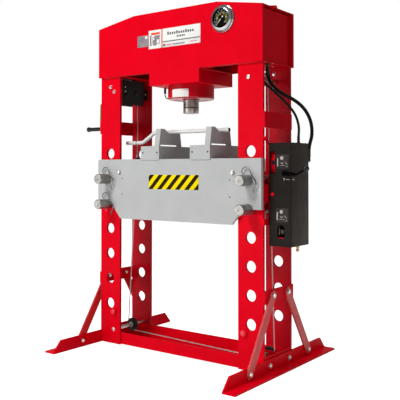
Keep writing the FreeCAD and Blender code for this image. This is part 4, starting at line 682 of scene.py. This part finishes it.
# The barrel takes the darker red as painted shade.
turned("cylinder_barrel_turned",
       [(BORE_R, 0), (BARREL_R - 7, 0), (BARREL_R - 4, 0.8), (BARREL_R - 1.4, 3), (BARREL_R, 7),
        (BARREL_R, BARREL_H), (0, BARREL_H)],
       BARREL_FOOT, UP, SHADE_DARKENED_RED, 96, **stands("cylinder_barrel"))
turned("cylinder_gland_ring",
       [(RAM_R + 0.3, 6), (RAM_R + 0.3, -1), (RAM_R + 3, -2), (RAM_R + 9, -2),
        (RAM_R + 10, 0.6), (BORE_R - 3, 0.6), (BORE_R - 1, 1.6), (BORE_R - 1, 6)],
       BARREL_FOOT, UP, GLOSS_RED, 96, **stands("cylinder_gland"))
turned("cylinder_rim",
       [(BORE_R, -0.4), (BARREL_R - 7, -0.4), (BARREL_R - 3.6, 0.4), (BARREL_R - 1, 2.6),
        (BARREL_R + 0.4, 7)], BARREL_FOOT, UP, GLOSS_RED, 96)

# %% Ram
RAM_FOOT = Vector((0, 0, low("ram_rod").z))
RAM_H = (high("ram_rod").z - RAM_FOOT.z) / MM
GROOVE = 33
turned("ram_rod_ground",
       [(0, 1), (8, 1), (9, 0), (RAM_R - 3, 0), (RAM_R - 0.8, 1), (RAM_R, 3),
        (RAM_R, GROOVE - 3), (RAM_R - 1.5, GROOVE - 2.2), (RAM_R - 3, GROOVE),
        (RAM_R - 1.5, GROOVE + 2.2), (RAM_R, GROOVE + 3), (RAM_R, 313), (30, 313), (30, RAM_H),
        (0, RAM_H)],
       RAM_FOOT, UP, RAM_STEEL, 96, body="ram", sharp=24, **stands("ram_rod"))
GRUB = [(0, -2), (1.8, -2), (1.8, -0.2), (6, -0.2), (6.8, 0.5), (7, -1)]
ways = [Vector((math.cos(turn), math.sin(turn), 0))
        for turn in map(math.radians, (-104, -14, 76, 166))]
turned_set("ram_grub_screws", PLASTIC,
           [(GRUB, RAM_FOOT + out * RAM_R * MM + UP * 52 * MM, out) for out in ways], 20,
           body="ram")
turned_set("ram_rings", IRON,
           [([(RAM_R - 2, h - 1.6), (RAM_R + 0.2, h - 1.2), (RAM_R + 0.2, h + 1.2),
              (RAM_R - 2, h + 1.6)], RAM_FOOT, UP) for h in (GROOVE, 78)], 64, body="ram")
print("cylinder, gland, ram, two rings and four grub screws")

# %% Bare plate on the barrel
plate = bmesh.new()
first = math.radians(-105)
skin = (BARREL_R + 0.5) * MM
edge = [plate.verts.new((skin * math.cos(first), skin * math.sin(first), z))
        for z in (1.457, 1.502)]
run = plate.edges.new(edge)
bmesh.ops.spin(plate, geom=edge + [run], cent=(0, 0, 0), axis=UP, dvec=(0, 0, 0),
               angle=math.radians(46), steps=16)
as_piece("barrel_bare_plate", plate, WHITE)
print("bare plate", round(math.radians(46) * skin, 3), "m long")

# %% [markdown]
# ## Underside of the head
# The head is a box of plates that is open below between the drop and the posts, so its
# darker inside and the lit inner face of the rear plate show there. The drop is a folded tray
# and a short strip closes the box over each pair of posts.

# %% Head underside
FLOOR_LOW = low("head_floor")
FLOOR_HIGH = high("head_floor")
DROP_HALF = 178.7 * MM
POST_INNER = 422 * MM
POST_OUTER_Y = 133 * MM
SHEET = 8 * MM
HEAD_LOW = low("head_end_panels").z
tray = bmesh.new()
add_box(tray, (-DROP_HALF, FLOOR_LOW.y, FLOOR_LOW.z),
        (DROP_HALF, FLOOR_HIGH.y, FLOOR_LOW.z + SHEET))
for side in (-1, 1):
    add_box(tray, (side * DROP_HALF, FLOOR_LOW.y, FLOOR_LOW.z + SHEET),
            (side * (DROP_HALF - SHEET), FLOOR_HIGH.y, FLOOR_HIGH.z))
    add_box(tray, (side * POST_INNER, -POST_OUTER_Y, HEAD_LOW),
            (side * FLOOR_HIGH.x, POST_OUTER_Y, FLOOR_HIGH.z))
as_piece("head_tray", tray, RED, **stands("head_floor"))
print("drop", round(2 * DROP_HALF, 3), "m wide, open on both sides")

# %% [markdown]
# ## Pressure gauge
# A 150 mm panel gauge: a chromed bezel over flat glass, a black printed dial with an olive
# band, white ticks and figures, and a white pointer. The bezel is spun brass, chromed, so it
# has soft round shoulders.

# %% Gauge
GAUGE = Vector((middle("gauge_bezel").x, 0, middle("gauge_bezel").z))
GAUGE_BACK = GAUGE + BACK * high("gauge_bezel").y
GAUGE_DEEP = (high("gauge_bezel").y - low("gauge_bezel").y) / MM
DIAL_Y = low("gauge_dial").y
ZERO_ANGLE = 225
SWEEP = 270

rise = [(50, 16), (50.4, 19), (52, 20), (55, 19.6), (60, 17), (66, 12.5), (70, 8), (73, 3.6),
        (74, 1.5), (73.6, 0), (58, 0), (57.5, 6), (57, 16)]
turned("gauge_bezel_spun", [(r, h * GAUGE_DEEP / 20) for r, h in rise] + [(50, 16)], GAUGE_BACK,
       FRONT, CHROME, 96, sharp=50, **stands("gauge_bezel"))
turned("gauge_flange", [(57, 0), (74, 0), (75, 0.8), (75, 3), (74, 4), (57, 4)],
       (GAUGE.x, HEAD_FRONT_Y, GAUGE.z), FRONT, CHROME, 96, slot="gauge_chrome")
turned("gauge_gasket", [(49.4, 9), (49.6, 17), (50.4, 19.4), (52.2, 20.3), (53.4, 20.2),
                        (53.6, 18)], GAUGE_BACK, FRONT, PLASTIC, 96)
# A dark iron ring on the bezel's slope: painted shade of a shadow gap.
turned("gauge_painted_shadow_ring", [(66.2, 11.6), (67, 12.4), (69.6, 9.6), (69.8, 7)], GAUGE_BACK, FRONT,
       IRON, 96)


# %% Dial print
def dial_way(share):
    """Direction from the middle of the dial at that share of the pointer's travel."""
    angle = math.radians(ZERO_ANGLE - SWEEP * share)
    return Vector((math.cos(angle), 0, math.sin(angle)))


def on_dial(radius, share, lift):
    """Point at that radius, lifted off the dial, both in mm."""
    return GAUGE + dial_way(share) * radius * MM + Vector((0, DIAL_Y - lift * MM, 0))


def dial_arc(bm, inner, outer, start, end):
    """Thin printed band between two shares of the travel."""
    pair = [bm.verts.new(on_dial(r, start, 0.15)) for r in (inner, outer)]
    edge = bm.edges.new(pair)
    bmesh.ops.spin(bm, geom=pair + [edge], cent=on_dial(0, 0, 0.15), axis=BACK,
                   dvec=(0, 0, 0), angle=math.radians(SWEEP * (end - start)), steps=48)


def dial_tick(bm, share, inner, outer, width):
    """Thin printed radial line, sizes in mm."""
    across = dial_way(share).cross(FRONT) * width * MM / 2
    here = on_dial(inner, share, 0.1)
    there = on_dial(outer, share, 0.1)
    add_plate(bm, [here - across, here + across, there + across, there - across],
              FRONT * 0.1 * MM)


band = bmesh.new()
dial_arc(band, 22, 35, 0.1, 0.98)
as_piece("dial_olive_band", band, OLIVE)
ticks = bmesh.new()
for step in range(51):
    major = step % 5 == 0
    dial_tick(ticks, step / 50, 40 if major else 43, 47, 1.3 if major else 0.6)
dial_arc(ticks, 47, 47.8, 0, 1)
dial_arc(ticks, 36.2, 36.8, 0, 1)
as_piece("dial_ticks", ticks, WHITE)


def dial_figure(text, share):
    """White figure on the dial, upright, centred on its tick."""
    curve = bpy.data.curves.new("figure_" + text, "FONT")
    curve.body = text
    curve.size = 9.5 * MM
    curve.extrude = 0.1 * MM
    curve.align_x = "CENTER"
    curve.align_y = "CENTER"
    writing = bpy.data.objects.new("figure_" + text, curve)
    shape = bpy.data.meshes.new_from_object(writing)
    bpy.data.objects.remove(writing)
    stand = Matrix.Translation(on_dial(29, share, 0.4))
    shape.transform(stand @ Matrix.Rotation(math.radians(90), 4, "X"))
    return place_piece("dial_figure_" + text, shape, WHITE)


for step in range(0, 11, 2):
    dial_figure(str(step * 10), step / 10)

# %% Pointer
along = dial_way(0)
across = along.cross(FRONT)
hub = Vector((GAUGE.x, -180 * MM, GAUGE.z))
pointer = bmesh.new()
outline = [(-16, 3.4), (-16, -3.4), (0, -2.4), (42, -0.7), (42, 0.7), (0, 2.4)]
add_plate(pointer, [hub + along * a * MM + across * b * MM for a, b in outline],
          BACK * 0.8 * MM)
as_piece("gauge_pointer", pointer, WHITE, "needle", **stands("gauge_needle"))
turned("gauge_boss", [(0, 1.4), (3, 1.2), (4.6, 0.2), (5, -1.4), (1.6, -1.8), (1.6, -6)], hub,
       FRONT, DIAL, 32, body="needle", **stands("gauge_needle"))
print("gauge with 51 ticks and six figures")

# %% [markdown]
# ## Plates and stripes
# The head carries a printed white plate with a smaller metal data plate beside it; here both
# are bare of words, with plain rules and fields only. The bed has a striped film that makes
# its front easy to see.


# %% Printed plates
def panel(name, x, z, y, thick, finish, stands_for=()):
    """Flat plate standing off y, with x, z and thick in mm."""
    bm = bmesh.new()
    add_box(bm, (x[0] * MM, y, z[0] * MM), (x[1] * MM, y - thick * MM, z[1] * MM), 0.3 * MM)
    return as_piece(name, bm, finish, stands_for=stands_for)


def fields(name, rows, finish, lift=0.0, origin=(-183, 1740)):
    """Flat printed bars: each row is (left, low, right, high) in mm from origin."""
    bm = bmesh.new()
    y = HEAD_FRONT_Y - (1.5 + lift) * MM
    for left, base, right, top in rows:
        add_box(bm, ((origin[0] + left) * MM, y, (origin[1] + base) * MM),
                ((origin[0] + right) * MM, y - 0.25 * MM, (origin[1] + top) * MM), 0)
    return as_piece(name, bm, finish)


def ink(name, colour, shade, shine=0.2):
    return sprayed_paint(name, colour, shade, 0.5, colour, shine)


INK_GREY = ink("dark_grey_ink", "#4A4E51", "#505457", 0.1)
INK_PALE = ink("pale_grey_ink", "#EDEAEA", "#E4E0E0", 0.05)
INK_ORANGE = ink("orange_red_ink", "#F0552E", "#E84C28")
INK_ROSE = ink("rose_ink", "#E8A0A0", "#E49898")
INK_GREEN = ink("grey_green_ink", "#66756C", "#5F6D64")
DATA_METAL = plated_metal("etched_aluminium", "#9C9196", "#7F757A", 0.5, (0.1, 1, 1), 1.0,
                          metallic=0.3)
HAZARD = hazard_film("striped_film", "#FFE400", "#2A1D0A", 65, 0.95, 59)

# Width, height and printed rim of the name plate, in mm.
W, H, RIM = 373, 108, 1.6
panel("name_plate", (-183, 190), (1740, 1848), HEAD_FRONT_Y, 1.5, WHITE, ("name_plates",))
fields("plate_border", [(0, 0, W, RIM), (0, H - RIM, W, H), (0, 0, RIM, H), (W - RIM, 0, W, H)],
       INK_ROSE)
fields("plate_uprights", [(96, 0, 105, H)], INK_ORANGE)
fields("plate_picture", [(30, 24, 84, 70), (36, 18, 60, 24), (44, 70, 88, 76)], DATA_METAL)
fields("plate_picture_patch", [(62, 28, 80, 52), (34, 50, 44, 66)], INK_PALE, 0.2)
fields("plate_heading_field", [(20, 80, 84, 93)], INK_ORANGE)
title = [(140 + 16 * i, 69, 150 + 16 * i, 82 + 5 * (i % 4 == 0)) for i in range(12)]
subtitle = [(208 + 12 * i, 50, 216 + 12 * i, 60) for i in range(5)]
spine = [(11, 20 + 10 * i, 22, 28 + 10 * i) for i in range(6)]
foot_marks = [(178 + 11 * i, 9, 186 + 11 * i, 16) for i in range(8)]
fields("plate_rules", title + subtitle + spine + foot_marks, INK_GREY)
fields("plate_line", [(106, 30, W - 2, 36)], INK_GREEN)
fields("plate_strip", [(106, 2, W - 2, 28)], INK_PALE, -0.12)
fields("plate_strip_marks", [(132, 8, 170, 17), (300, 12, 352, 19)], INK_ROSE)
fields("plate_green_mark", [(110, 7, 126, 20)], INK_GREEN)

panel("data_plate", (-268, -186), (1758, 1824), HEAD_FRONT_Y, 1.5, DATA_METAL, ("name_plates",))
data_rows = [(6, 8 + 9 * i, 70, 9.2 + 9 * i) for i in range(6)]
fields("data_plate_rules", data_rows, INK_GREY, origin=(-268, 1758))
fields("data_plate_corner", [(58, 46, 76, 60)], WHITE, origin=(-268, 1758))
panel("hazard_label", (-174.5, 181.5), (935, 1017), BED_FRONT_Y, 0.8, HAZARD, ("name_plates",))
print("name plate", W, "by", H, "mm, data plate and striped film")

# %% [markdown]
# ## Pump box
# The two-speed hand pump sits in a folded steel box with a powder coat. Its lid laps over the
# top and pan-head screws hold the side sheet. Small dark film labels carry plain marks, a
# ring, a bar and a few strokes, where a maker would show how the lever goes.

# %% Box lid, plug and screws
BOX_LOW = low("pump_box")
BOX_HIGH = high("pump_box")
BOX_FRONT = BOX_LOW.y
BOX_SKIN = BOX_HIGH.x + 0.8 * MM
LID_TOP = BOX_HIGH.z + 1.5 * MM

lid = bmesh.new()
add_box(lid, (BOX_LOW.x - 1 * MM, BOX_LOW.y - 1 * MM, BOX_HIGH.z),
        (BOX_HIGH.x + 1 * MM, BOX_HIGH.y + 1 * MM, LID_TOP), 0.7 * MM)
as_piece("box_lid", lid, POWDER)
# The side sheet takes the lighter black, which paints the reflection on the box's right side.
sheet = bmesh.new()
add_box(sheet, (BOX_HIGH.x, BOX_LOW.y + 1.5 * MM, BOX_LOW.z + 1.5 * MM),
        (BOX_SKIN, BOX_HIGH.y - 1.5 * MM, BOX_HIGH.z - 1.5 * MM), 0.4 * MM)
as_piece("box_side_sheet", sheet, BOX_SIDE_PAINTED_REFLECTION)
turned("box_red_plug", [(0, 3.4), (4, 3.1), (7.5, 2), (9.5, 0.4), (9.6, -0.5)],
       (612 * MM, BOX_FRONT, 920 * MM), FRONT, RED, 32)


# Domed head 8 mm across, with the recess hinted by a small raised rim.
PAN = [(0, 0.9), (1.4, 0.9), (1.8, 1.9), (3.2, 1.5), (4, 0.3), (4, -0.5)]
SIDE_SPOTS = [(-105, 946), (39, 896), (-105, 1160), (58, 1160), (-105, 676), (58, 676)]
turned_set("box_side_screws", POWDER,
           [(PAN, (BOX_SKIN, y * MM, z * MM), RIGHT) for y, z in SIDE_SPOTS], 20)
turned_set("box_lid_screws", POWDER,
           [(PAN, (x * MM, y * MM, LID_TOP), UP) for x in (602, 710) for y in (-103, 58)], 20)

# %% Box labels
MARK = ink("grey_white_print", "#C9C4C2", "#BFBAB8", 0.05)
FILM = sprayed_paint("dark_label_film", "#403A38", "#3B3534", 0.45, "#403A38", 0.05)


def stroke(bm, start, end, width, y):
    """Thin flat line between two (x, z) points in mm."""
    a = Vector((start[0] * MM, y, start[1] * MM))
    b = Vector((end[0] * MM, y, end[1] * MM))
    side = (b - a).normalized().cross(FRONT) * width * MM / 2
    add_plate(bm, [a - side, a + side, b + side, b - side], FRONT * 0.3 * MM)


def lever_label(name, x, z):
    """Dark film with a bar, a dial ring and slanting strokes."""
    panel(name, (x, x + 73), (z, z + 74), BOX_FRONT, 0.4, FILM)
    y = BOX_FRONT - 0.4 * MM
    marks = bmesh.new()
    stroke(marks, (x + 8, z + 14), (x + 8, z + 54), 5.5, y)
    add_turned(marks, [(2.5, 0), (2.5, 0.3), (9, 0.3), (9, 0)],
               ((x + 32) * MM, y, (z + 56) * MM), FRONT, 24)
    for x0, z0, x1, z1, width in ((26, 33, 34, 24, 2.6), (34, 24, 40, 34, 2.6),
                                  (20, 18, 52, 18, 1.4), (50, 38, 64, 22, 2.0),
                                  (56, 12, 66, 12, 2.4)):
        stroke(marks, (x + x0, z + z0), (x + x1, z + z1), width, y)
    return as_piece(name + "_marks", marks, MARK)


lever_label("upper_lever_label", 635, 1050)
lever_label("lower_lever_label", 632, 776)
valve_marks = bmesh.new()
stroke(valve_marks, (676, 1002), (686, 1002), 3.2, BOX_FRONT)
stroke(valve_marks, (681, 1001), (681, 992), 3.2, BOX_FRONT)
stroke(valve_marks, (691, 997), (711, 997), 2.2, BOX_FRONT)
for step in range(3):
    y = BOX_FRONT + (10 + 9 * step) * MM
    add_box(valve_marks, (BOX_HIGH.x, y, 993 * MM),
            (BOX_HIGH.x + 1.1 * MM, y + 5 * MM, 1001 * MM), 0)
as_piece("valve_marks", valve_marks, MARK)
print("box lid, plug, ten screws and three labels")

# %% [markdown]
# ## Lever sockets
# The lever goes into one of two tubes that rock the pump's two pistons. The upper tube is
# painted like the frame and carries a curved shield that keeps its slot closed as it swings;
# the lower one is dark iron, with a brass link and a red stop beside it. The shield is a
# straight rib spun about the pivot, so it stays inside the slot at every angle.


# %% Lever sockets
def lever_socket(node, finish):
    """Tube with a chamfered mouth, and a black disc just inside that paints the shade in the
    bore.
    """
    spot = Vector((middle(node).x, low(node).y, middle(node).z))
    length = (high(node).y - low(node).y) / MM - 6
    body = node.replace("pump_", "")
    turned(node + "_tube", [(0, 42), (11.2, 42), (11.2, 1), (12, 0), (12.5, 0), (13, 0.6),
                            (13, length), (0, length)],
           spot, BACK, finish, body=body, **stands(node))
    # Black disc 2 mm inside the mouth: painted shade of the bore.
    turned(node + "_shade", [(0, 2), (10.9, 2)], spot, BACK, PLASTIC, 32, body=body)


lever_socket("pump_socket_upper", RED)
lever_socket("pump_socket_lower", IRON)
upper = middle("pump_socket_upper")
upper_mouth = low("pump_socket_upper").y
SHIELD_R = 120 * MM
near, far = math.radians(6.4), math.radians(31)
shield_axis = Vector((594.5 * MM, upper_mouth + SHIELD_R + 1 * MM, upper.z))
shield = bmesh.new()
for side in (-1, 1):
    arm = Vector((0, -math.cos(near), side * math.sin(near))) * SHIELD_R
    first_edge = [shield.verts.new(shield_axis + arm),
                  shield.verts.new(shield_axis + arm + RIGHT * 34 * MM)]
    rib = shield.edges.new(first_edge)
    bmesh.ops.spin(shield, geom=first_edge + [rib], cent=shield_axis, axis=RIGHT,
                   dvec=(0, 0, 0), angle=side * (near - far), steps=12)
for left, right in ((594.5, 600.5), (624.5, 628.5)):
    add_box(shield, (left * MM, upper_mouth + 2.5 * MM, upper.z - 13.4 * MM),
            (right * MM, upper_mouth + 1.4 * MM, upper.z + 13.4 * MM), 0)
as_piece("socket_shield", shield, RED, "socket_upper")
port = bmesh.new()
add_rod(port, (0.6465, -0.104, 0.712), (0.6465, -0.104, 0.757), 3.4 * MM, 16, 0.5 * MM)
add_rod(port, (0.6465, -0.108, 0.724), (0.6465, -0.096, 0.724), 5 * MM, 16, 0.5 * MM)
as_piece("port_link", port, OLD_BRASS)
lip = bmesh.new()
add_box(lip, (0.642, -0.111, 0.696), (0.684, -0.098, 0.701), 1 * MM)
as_piece("port_stop", lip, RED)

# %% [markdown]
# ## Release valve
# Turning this bent rod by its ball lets the oil back and the ram rise. A grooved hub holds the
# rod and a folded rubber boot keeps dirt from the seal. The boot is one zigzag outline turned
# round the rod, and every piece rides on the valve's body.

# %% Release valve
VALVE = Vector((686 * MM, BOX_FRONT, 1028 * MM))
VALVE_BEND = Vector((757 * MM, -127 * MM, 1022 * MM))
VALVE_BALL = Vector((815 * MM, -135 * MM, 1052 * MM))
hub = bmesh.new()
add_turned(hub, [(0, 16), (10.5, 16), (12.2, 14.4), (12.2, 2), (11, 0.6), (6, 0.6), (6, -6)],
           VALVE, FRONT, 32)
for step in range(18):
    turn = 2 * math.pi * step / 18
    spot = VALVE + Vector((math.cos(turn), 0, math.sin(turn))) * 12 * MM
    add_rod(hub, spot + FRONT * 2.5 * MM, spot + FRONT * 14 * MM, 1.1 * MM, 8)
as_piece("valve_hub", hub, BELLOWS, "valve", **stands("valve_lever"))
arm_start = VALVE + FRONT * 10 * MM
arm_line = [arm_start] + elbow(arm_start, VALVE_BEND, VALVE_BALL, 0.016) + [VALVE_BALL]
tube("valve_arm", arm_line, 5 * MM, BELLOWS, "valve", sides=5, **stands("valve_lever"))
folds = [(5, 8)]
for begin in (7, 22.5, 38, 53.5):
    folds += [(4.5, begin), (8.6, begin + 3), (10.3, begin + 6.5), (8.6, begin + 10),
              (4.5, begin + 13)]
turned("valve_bellows", folds + [(3.5, 70)], arm_start + FRONT * 2.5 * MM,
       (VALVE_BEND - arm_start).normalized(), BELLOWS, 32, body="valve")
ball = bmesh.new()
bmesh.ops.create_uvsphere(ball, u_segments=32, v_segments=20, radius=16.5 * MM,
                          matrix=Matrix.Translation(VALVE_BALL))
as_piece("valve_ball", ball, PLASTIC, "valve", **stands("valve_lever"))
print("two lever sockets and the release valve")

# %% [markdown]
# ## Winch
# A small spur-gear rope winch hangs behind the left front post. Bearing bosses stand out of
# its side plates, the crank arm is chromated steel and the grip is moulded plastic that turns
# on a spindle.

# %% Winch bosses and grip
WINCH_SIDE = -455 * MM
turned_set("winch_bosses", WINCH_PAINT,
           [([(0, 4), (r - 3, 4), (r, 2.4), (r, 0)], (WINCH_SIDE, y * MM, z * MM), RIGHT)
            for y, z, r in ((30, 1520, 17), (-58, 1501.1, 15))], 32)
RIVET = [(0, 2.8), (3, 2.4), (5, 0.6), (5, 0)]
turned_set("winch_rivets", ZINC,
           [(RIVET, (WINCH_SIDE, y * MM, z * MM), RIGHT)
            for y, z in ((-65, 1554), (-65, 1526), (121, 1522))], 20)

grip_root = middle("crank_grip")
grip_root.x = high("crank_grip").x
grip_long = (grip_root.x - low("crank_grip").x) / MM
grip_outline = [(5.1, 0), (10, 0), (11.6, 1.2), (12, 4)]
for step in range(8):
    start = 16 + 8.5 * step
    grip_outline += [(12, start), (11.2, start + 1.2), (11.2, start + 2.4), (12, start + 3.6)]
grip_outline += [(r, grip_long - back) for r, back in (
    (12.4, 24), (15, 16), (15.9, 11), (15, 6), (12, 2), (7, 0.3), (0, 0))]
turned("crank_grip_moulded", grip_outline, grip_root, -RIGHT, PLASTIC, 40, body="grip",
       **stands("crank_grip"))
turned("rope_clamp", [(3, 0), (8.6, 0), (9.2, 1), (9.2, 11), (7, 14), (3.2, 16)],
       (-POST_MID_X, 97 * MM, 1111 * MM), UP, PLASTIC, 32)
print("winch bosses, rivets, grip and rope clamp")

# %% [markdown]
# ## Pulleys and axles
# Three cast rope wheels keep the bed level: two at the floor and one under the head. Each
# turns on a bright steel axle between set collars, whose grub screws stop them walking.


# %% Pulleys
def rope_wheel(node, finish):
    half = [(10.1, -8), (15, -8), (17, -5.5), (28, -5.5), (30, -8), (37, -8), (38, -7.2),
            (37.4, -5.8), (31, -3.2), (29.6, -1.6), (29.5, 0)]
    other = [(r, -h) for r, h in reversed(half[:-1])]
    turned(node + "_cast", half + other + half[:1], middle(node), BACK, finish, 56,
           body=node.replace("pulley", "wheel"), sharp=40, **stands(node))


rope_wheel("pulley_low_left", IRON)
rope_wheel("pulley_low_right", IRON)
rope_wheel("pulley_top", ZINC)


# %% Axles and collars
def axle(bm, spot, front, back):
    """Bright bar with domed heads outside the posts and a collar either side of its wheel."""
    x, wheel_y, z = spot
    for y, way in ((front, FRONT), (back, BACK)):
        add_turned(bm, [(0, 6), (9, 5.6), (11.4, 4), (12, 0.4), (10, 0), (10, -8)], (x, y, z),
                   way, 32)
    add_rod(bm, (x, front + 2 * MM, z), (x, back - 2 * MM, z), 10 * MM, 32)
    for way in (BACK, FRONT):
        add_turned(bm, [(10, 0), (15.2, 0), (16, 0.8), (16, 7.2), (15.2, 8), (10, 8)],
                   Vector((x, wheel_y, z)) + way * 8.5 * MM, way, 32)


axles = bmesh.new()
for node in ("pulley_low_left", "pulley_top"):
    axle(axles, middle(node), -POST_FACE, POST_FACE)
spot = middle("pulley_low_right")
axle(axles, spot, spot.y - 22.5 * MM, spot.y + 22.5 * MM)
as_piece("wheel_axles", axles, ZINC, **stands("pulley_axles"))
cheeks = bmesh.new()
for side in (-1, 1):
    near = spot.y + side * 16.5 * MM
    add_box(cheeks, (spot.x - 16 * MM, near, spot.z - 22 * MM),
            (POST_OUT_X - 10 * MM, near + side * 6 * MM, spot.z + 22 * MM), 1 * MM)
as_piece("wheel_cheeks", cheeks, RED, **stands("pulley_axles"))
print("three wheels, three axles, six collars")

# %% [markdown]
# ## Bolts
# The feet, stays and winch are bolted with zinc-plated hexagon bolts on washers. A bolt is
# the same stack everywhere, so one function makes it from its grip, head and shank.


# %% Bolts
def hexagon(bm, place, axis, radius, start, end):
    """Six-sided head with a chamfered top, between two heights in mm."""
    centre = Vector(place) + axis * MM * (start + end) / 2
    made = bmesh.ops.create_cone(bm, cap_ends=True, segments=6, radius1=radius * MM,
                                 radius2=radius * MM, depth=(end - start) * MM,
                                 matrix=aimed(centre, axis))
    soften(bm, {edge for vert in made["verts"] for edge in vert.link_edges
                if any(len(face.verts) == 6 for face in edge.link_faces)}, 0.9 * MM)


def washer(bm, place, axis, inner, outer):
    add_turned(bm, [(inner, 0), (outer - 0.4, 0), (outer, 0.4), (outer, 1.5),
                    (outer - 0.4, 1.5), (inner, 1.5)], place, axis, 32)


def bolt(bm, place, out, grip=20, head=12, shank=8):
    """Head and washer outside, nut and thread end behind, sizes in mm."""
    here = Vector(place)
    washer(bm, here, out, shank, head * 1.16)
    hexagon(bm, here, out, head, 1.5, 8)
    add_turned(bm, [(0, 8.2), (head * 0.7, 8.2), (head * 0.74, 7.6)], here, out, 24)
    back = here - out * grip * MM
    hexagon(bm, back, -out, head, 0, 9)
    add_rod(bm, back, back - out * 12 * MM, shank * 0.96 * MM, 20, 0.8 * MM)


bolts = bmesh.new()
STAY_FACE = POST_OUT_X + 20 * MM
FOOT_FACE = POST_OUT_X + 10 * MM
for side in (-1, 1):
    for end in (-1, 1):
        out = RIGHT * side
        bolt(bolts, (side * STAY_FACE, end * 76 * MM, 395 * MM), out)
        bolt(bolts, (side * STAY_FACE, end * 304 * MM, 39 * MM), out)
        bolt(bolts, (side * FOOT_FACE, end * 100 * MM, 35 * MM), out)
for x, z in ((-500, 1546), (-469, 1516)):
    bolt(bolts, (x * MM, -POST_FACE, z * MM), FRONT, 21, 9.4, 5)
for x, z in ((-472, 1539), (-466.5, 1512)):
    bolt(bolts, (x * MM, 127 * MM, z * MM), FRONT, 21, 7, 5)
as_piece("hexagon_bolts", bolts, ZINC, sharp=28, **stands("frame_bolts"))
post_bolts = bmesh.new()
for z in (1501, 1577):
    here = (477 * MM, 133 * MM, z * MM)
    washer(post_bolts, here, FRONT, 3, 11)
    hexagon(post_bolts, here, FRONT, 9.4, 1.5, 7.5)
as_piece("wheel_stay_bolts", post_bolts, ZINC, sharp=28)
print("sixteen bolts with nuts, and two heads that hold the top wheel's stay")

# %% [markdown]
# ## Stop pegs and rod ends
# A red mushroom-headed peg on each front post stops the bed from dropping to the floor. The
# tie rods of the bed show their turned ends in all four corners. Both are simple lathe work,
# so each is one outline.

# %% Stop pegs and rod ends
PEG = [(0, 21), (12, 21), (15, 19.6), (16.6, 17), (16.6, 10), (14.4, 9), (14.4, 0.2)]
# The pegs' brighter red and pale edges are painted highlights.
turned_set("stop_pegs", HIGHLIT_RED,
           [(PEG, (x * MM, -POST_FACE, 198 * MM), FRONT) for x in (-463, 463)], 32)
ROD_END = [(0, 13.5), (8.6, 13.5), (10.2, 12.6), (10.7, 11), (10.7, -3)]
turned_set("bed_rod_ends", ZINC,
           [(ROD_END, Vector((x, 0, 1033.5)) * MM - way * BED_FRONT_Y, way)
            for x in (-405, 405) for way in (FRONT, BACK)], 32)
print("two pegs and four rod ends")

# %% [markdown]
# ## Welds
# Everything that is not bolted is welded, then sprayed, so the beads are red and their
# ripples are soft. Each bead is a thin round-ended roll laid in its corner, and a wave in the
# material makes the ripples.


# %% Weld beads
def weld_paint(name):
    """The frame's red over soft slanting ripples 6 mm apart and clouds 60 mm across."""
    material, tree, place = patterned(name)
    ripple = add(tree, "TexWave", {"Scale": 62.0, "Distortion": 1.5, "Detail": 2.0,
                                   "Vector": place}, bands_direction="DIAGONAL").outputs["Fac"]
    tone = spread(tree, noise(tree, place, 60, 3), 0.35, 0.65, 0, 1)
    return surface(material, tree, {"Roughness": 0.4, "Specular IOR Level": 0.25,
                                    "Base Color": mixed(tree, tone, "#E8001F", "#D6001B"),
                                    "Normal": bumped(tree, ripple, 0.55, 1.2)})


def weld_run(bm, start, end, r):
    """Round-ended bead of radius r lying in a corner, all in mm."""
    a = Vector(start)
    b = Vector(end)
    length = (b - a).length
    add_turned(bm, [(0, 0), (r * 0.6, r * 0.2), (r, r * 0.9), (r, length - r * 0.9),
                    (r * 0.6, length - r * 0.2), (0, length)], a * MM, (b - a).normalized(), 10)


beads = bmesh.new()
for side in (-1, 1):
    for y in (-133, 133):
        weld_run(beads, (side * 422, y, 8), (side * 422, y, 71), 3.2)
    for y in (-147, 147):
        weld_run(beads, (side * 184, y, 1604.6), (side * 560, y, 1604.6), 3)
    weld_run(beads, (side * 179, -146, 1604), (side * 179, 146, 1604), 3.5)
    for z in (1264, 1347, 356, 425):
        for y in (-147, 134):
            weld_run(beads, (side * 577.5, y, z), (side * 577.5, y + 13, z), 2.6)
    weld_run(beads, (side * 566, -60, 1909), (side * 566, 14, 1909), 2.2)
for z in (792, 880, 969):
    for y in (-147, 134):
        weld_run(beads, (577.5, y, z), (577.5, y + 13, z), 2.6)
as_piece("weld_beads", beads, weld_paint("painted_weld_bead"), sharp=60)
print("weld beads along the frame")

# %% [markdown]
# ## Press blocks
# Two machined blocks hook over the bed plates. Each carries a welded upright with a notch for
# the lever, and two small screws in its front face. The CAD has the blocks, so only the
# screws are added, as black recessed heads whose black also paints the shade in their
# recesses.

# %% Block screws
RECESSED = [(0, -1.5), (2.4, -1.5), (2.4, 0.4), (5, 0.4), (5.4, 0), (5.4, -2)]
# The screws are black; their black also paints the shade in their recesses.
turned_set("press_block_screws", PLASTIC,
           [(RECESSED, (low(node).x + x * MM, low(node).y, 1143.75 * MM), FRONT)
            for node in ("press_block_left", "press_block_right") for x in (15, 120)], 20)
print("four block screws")
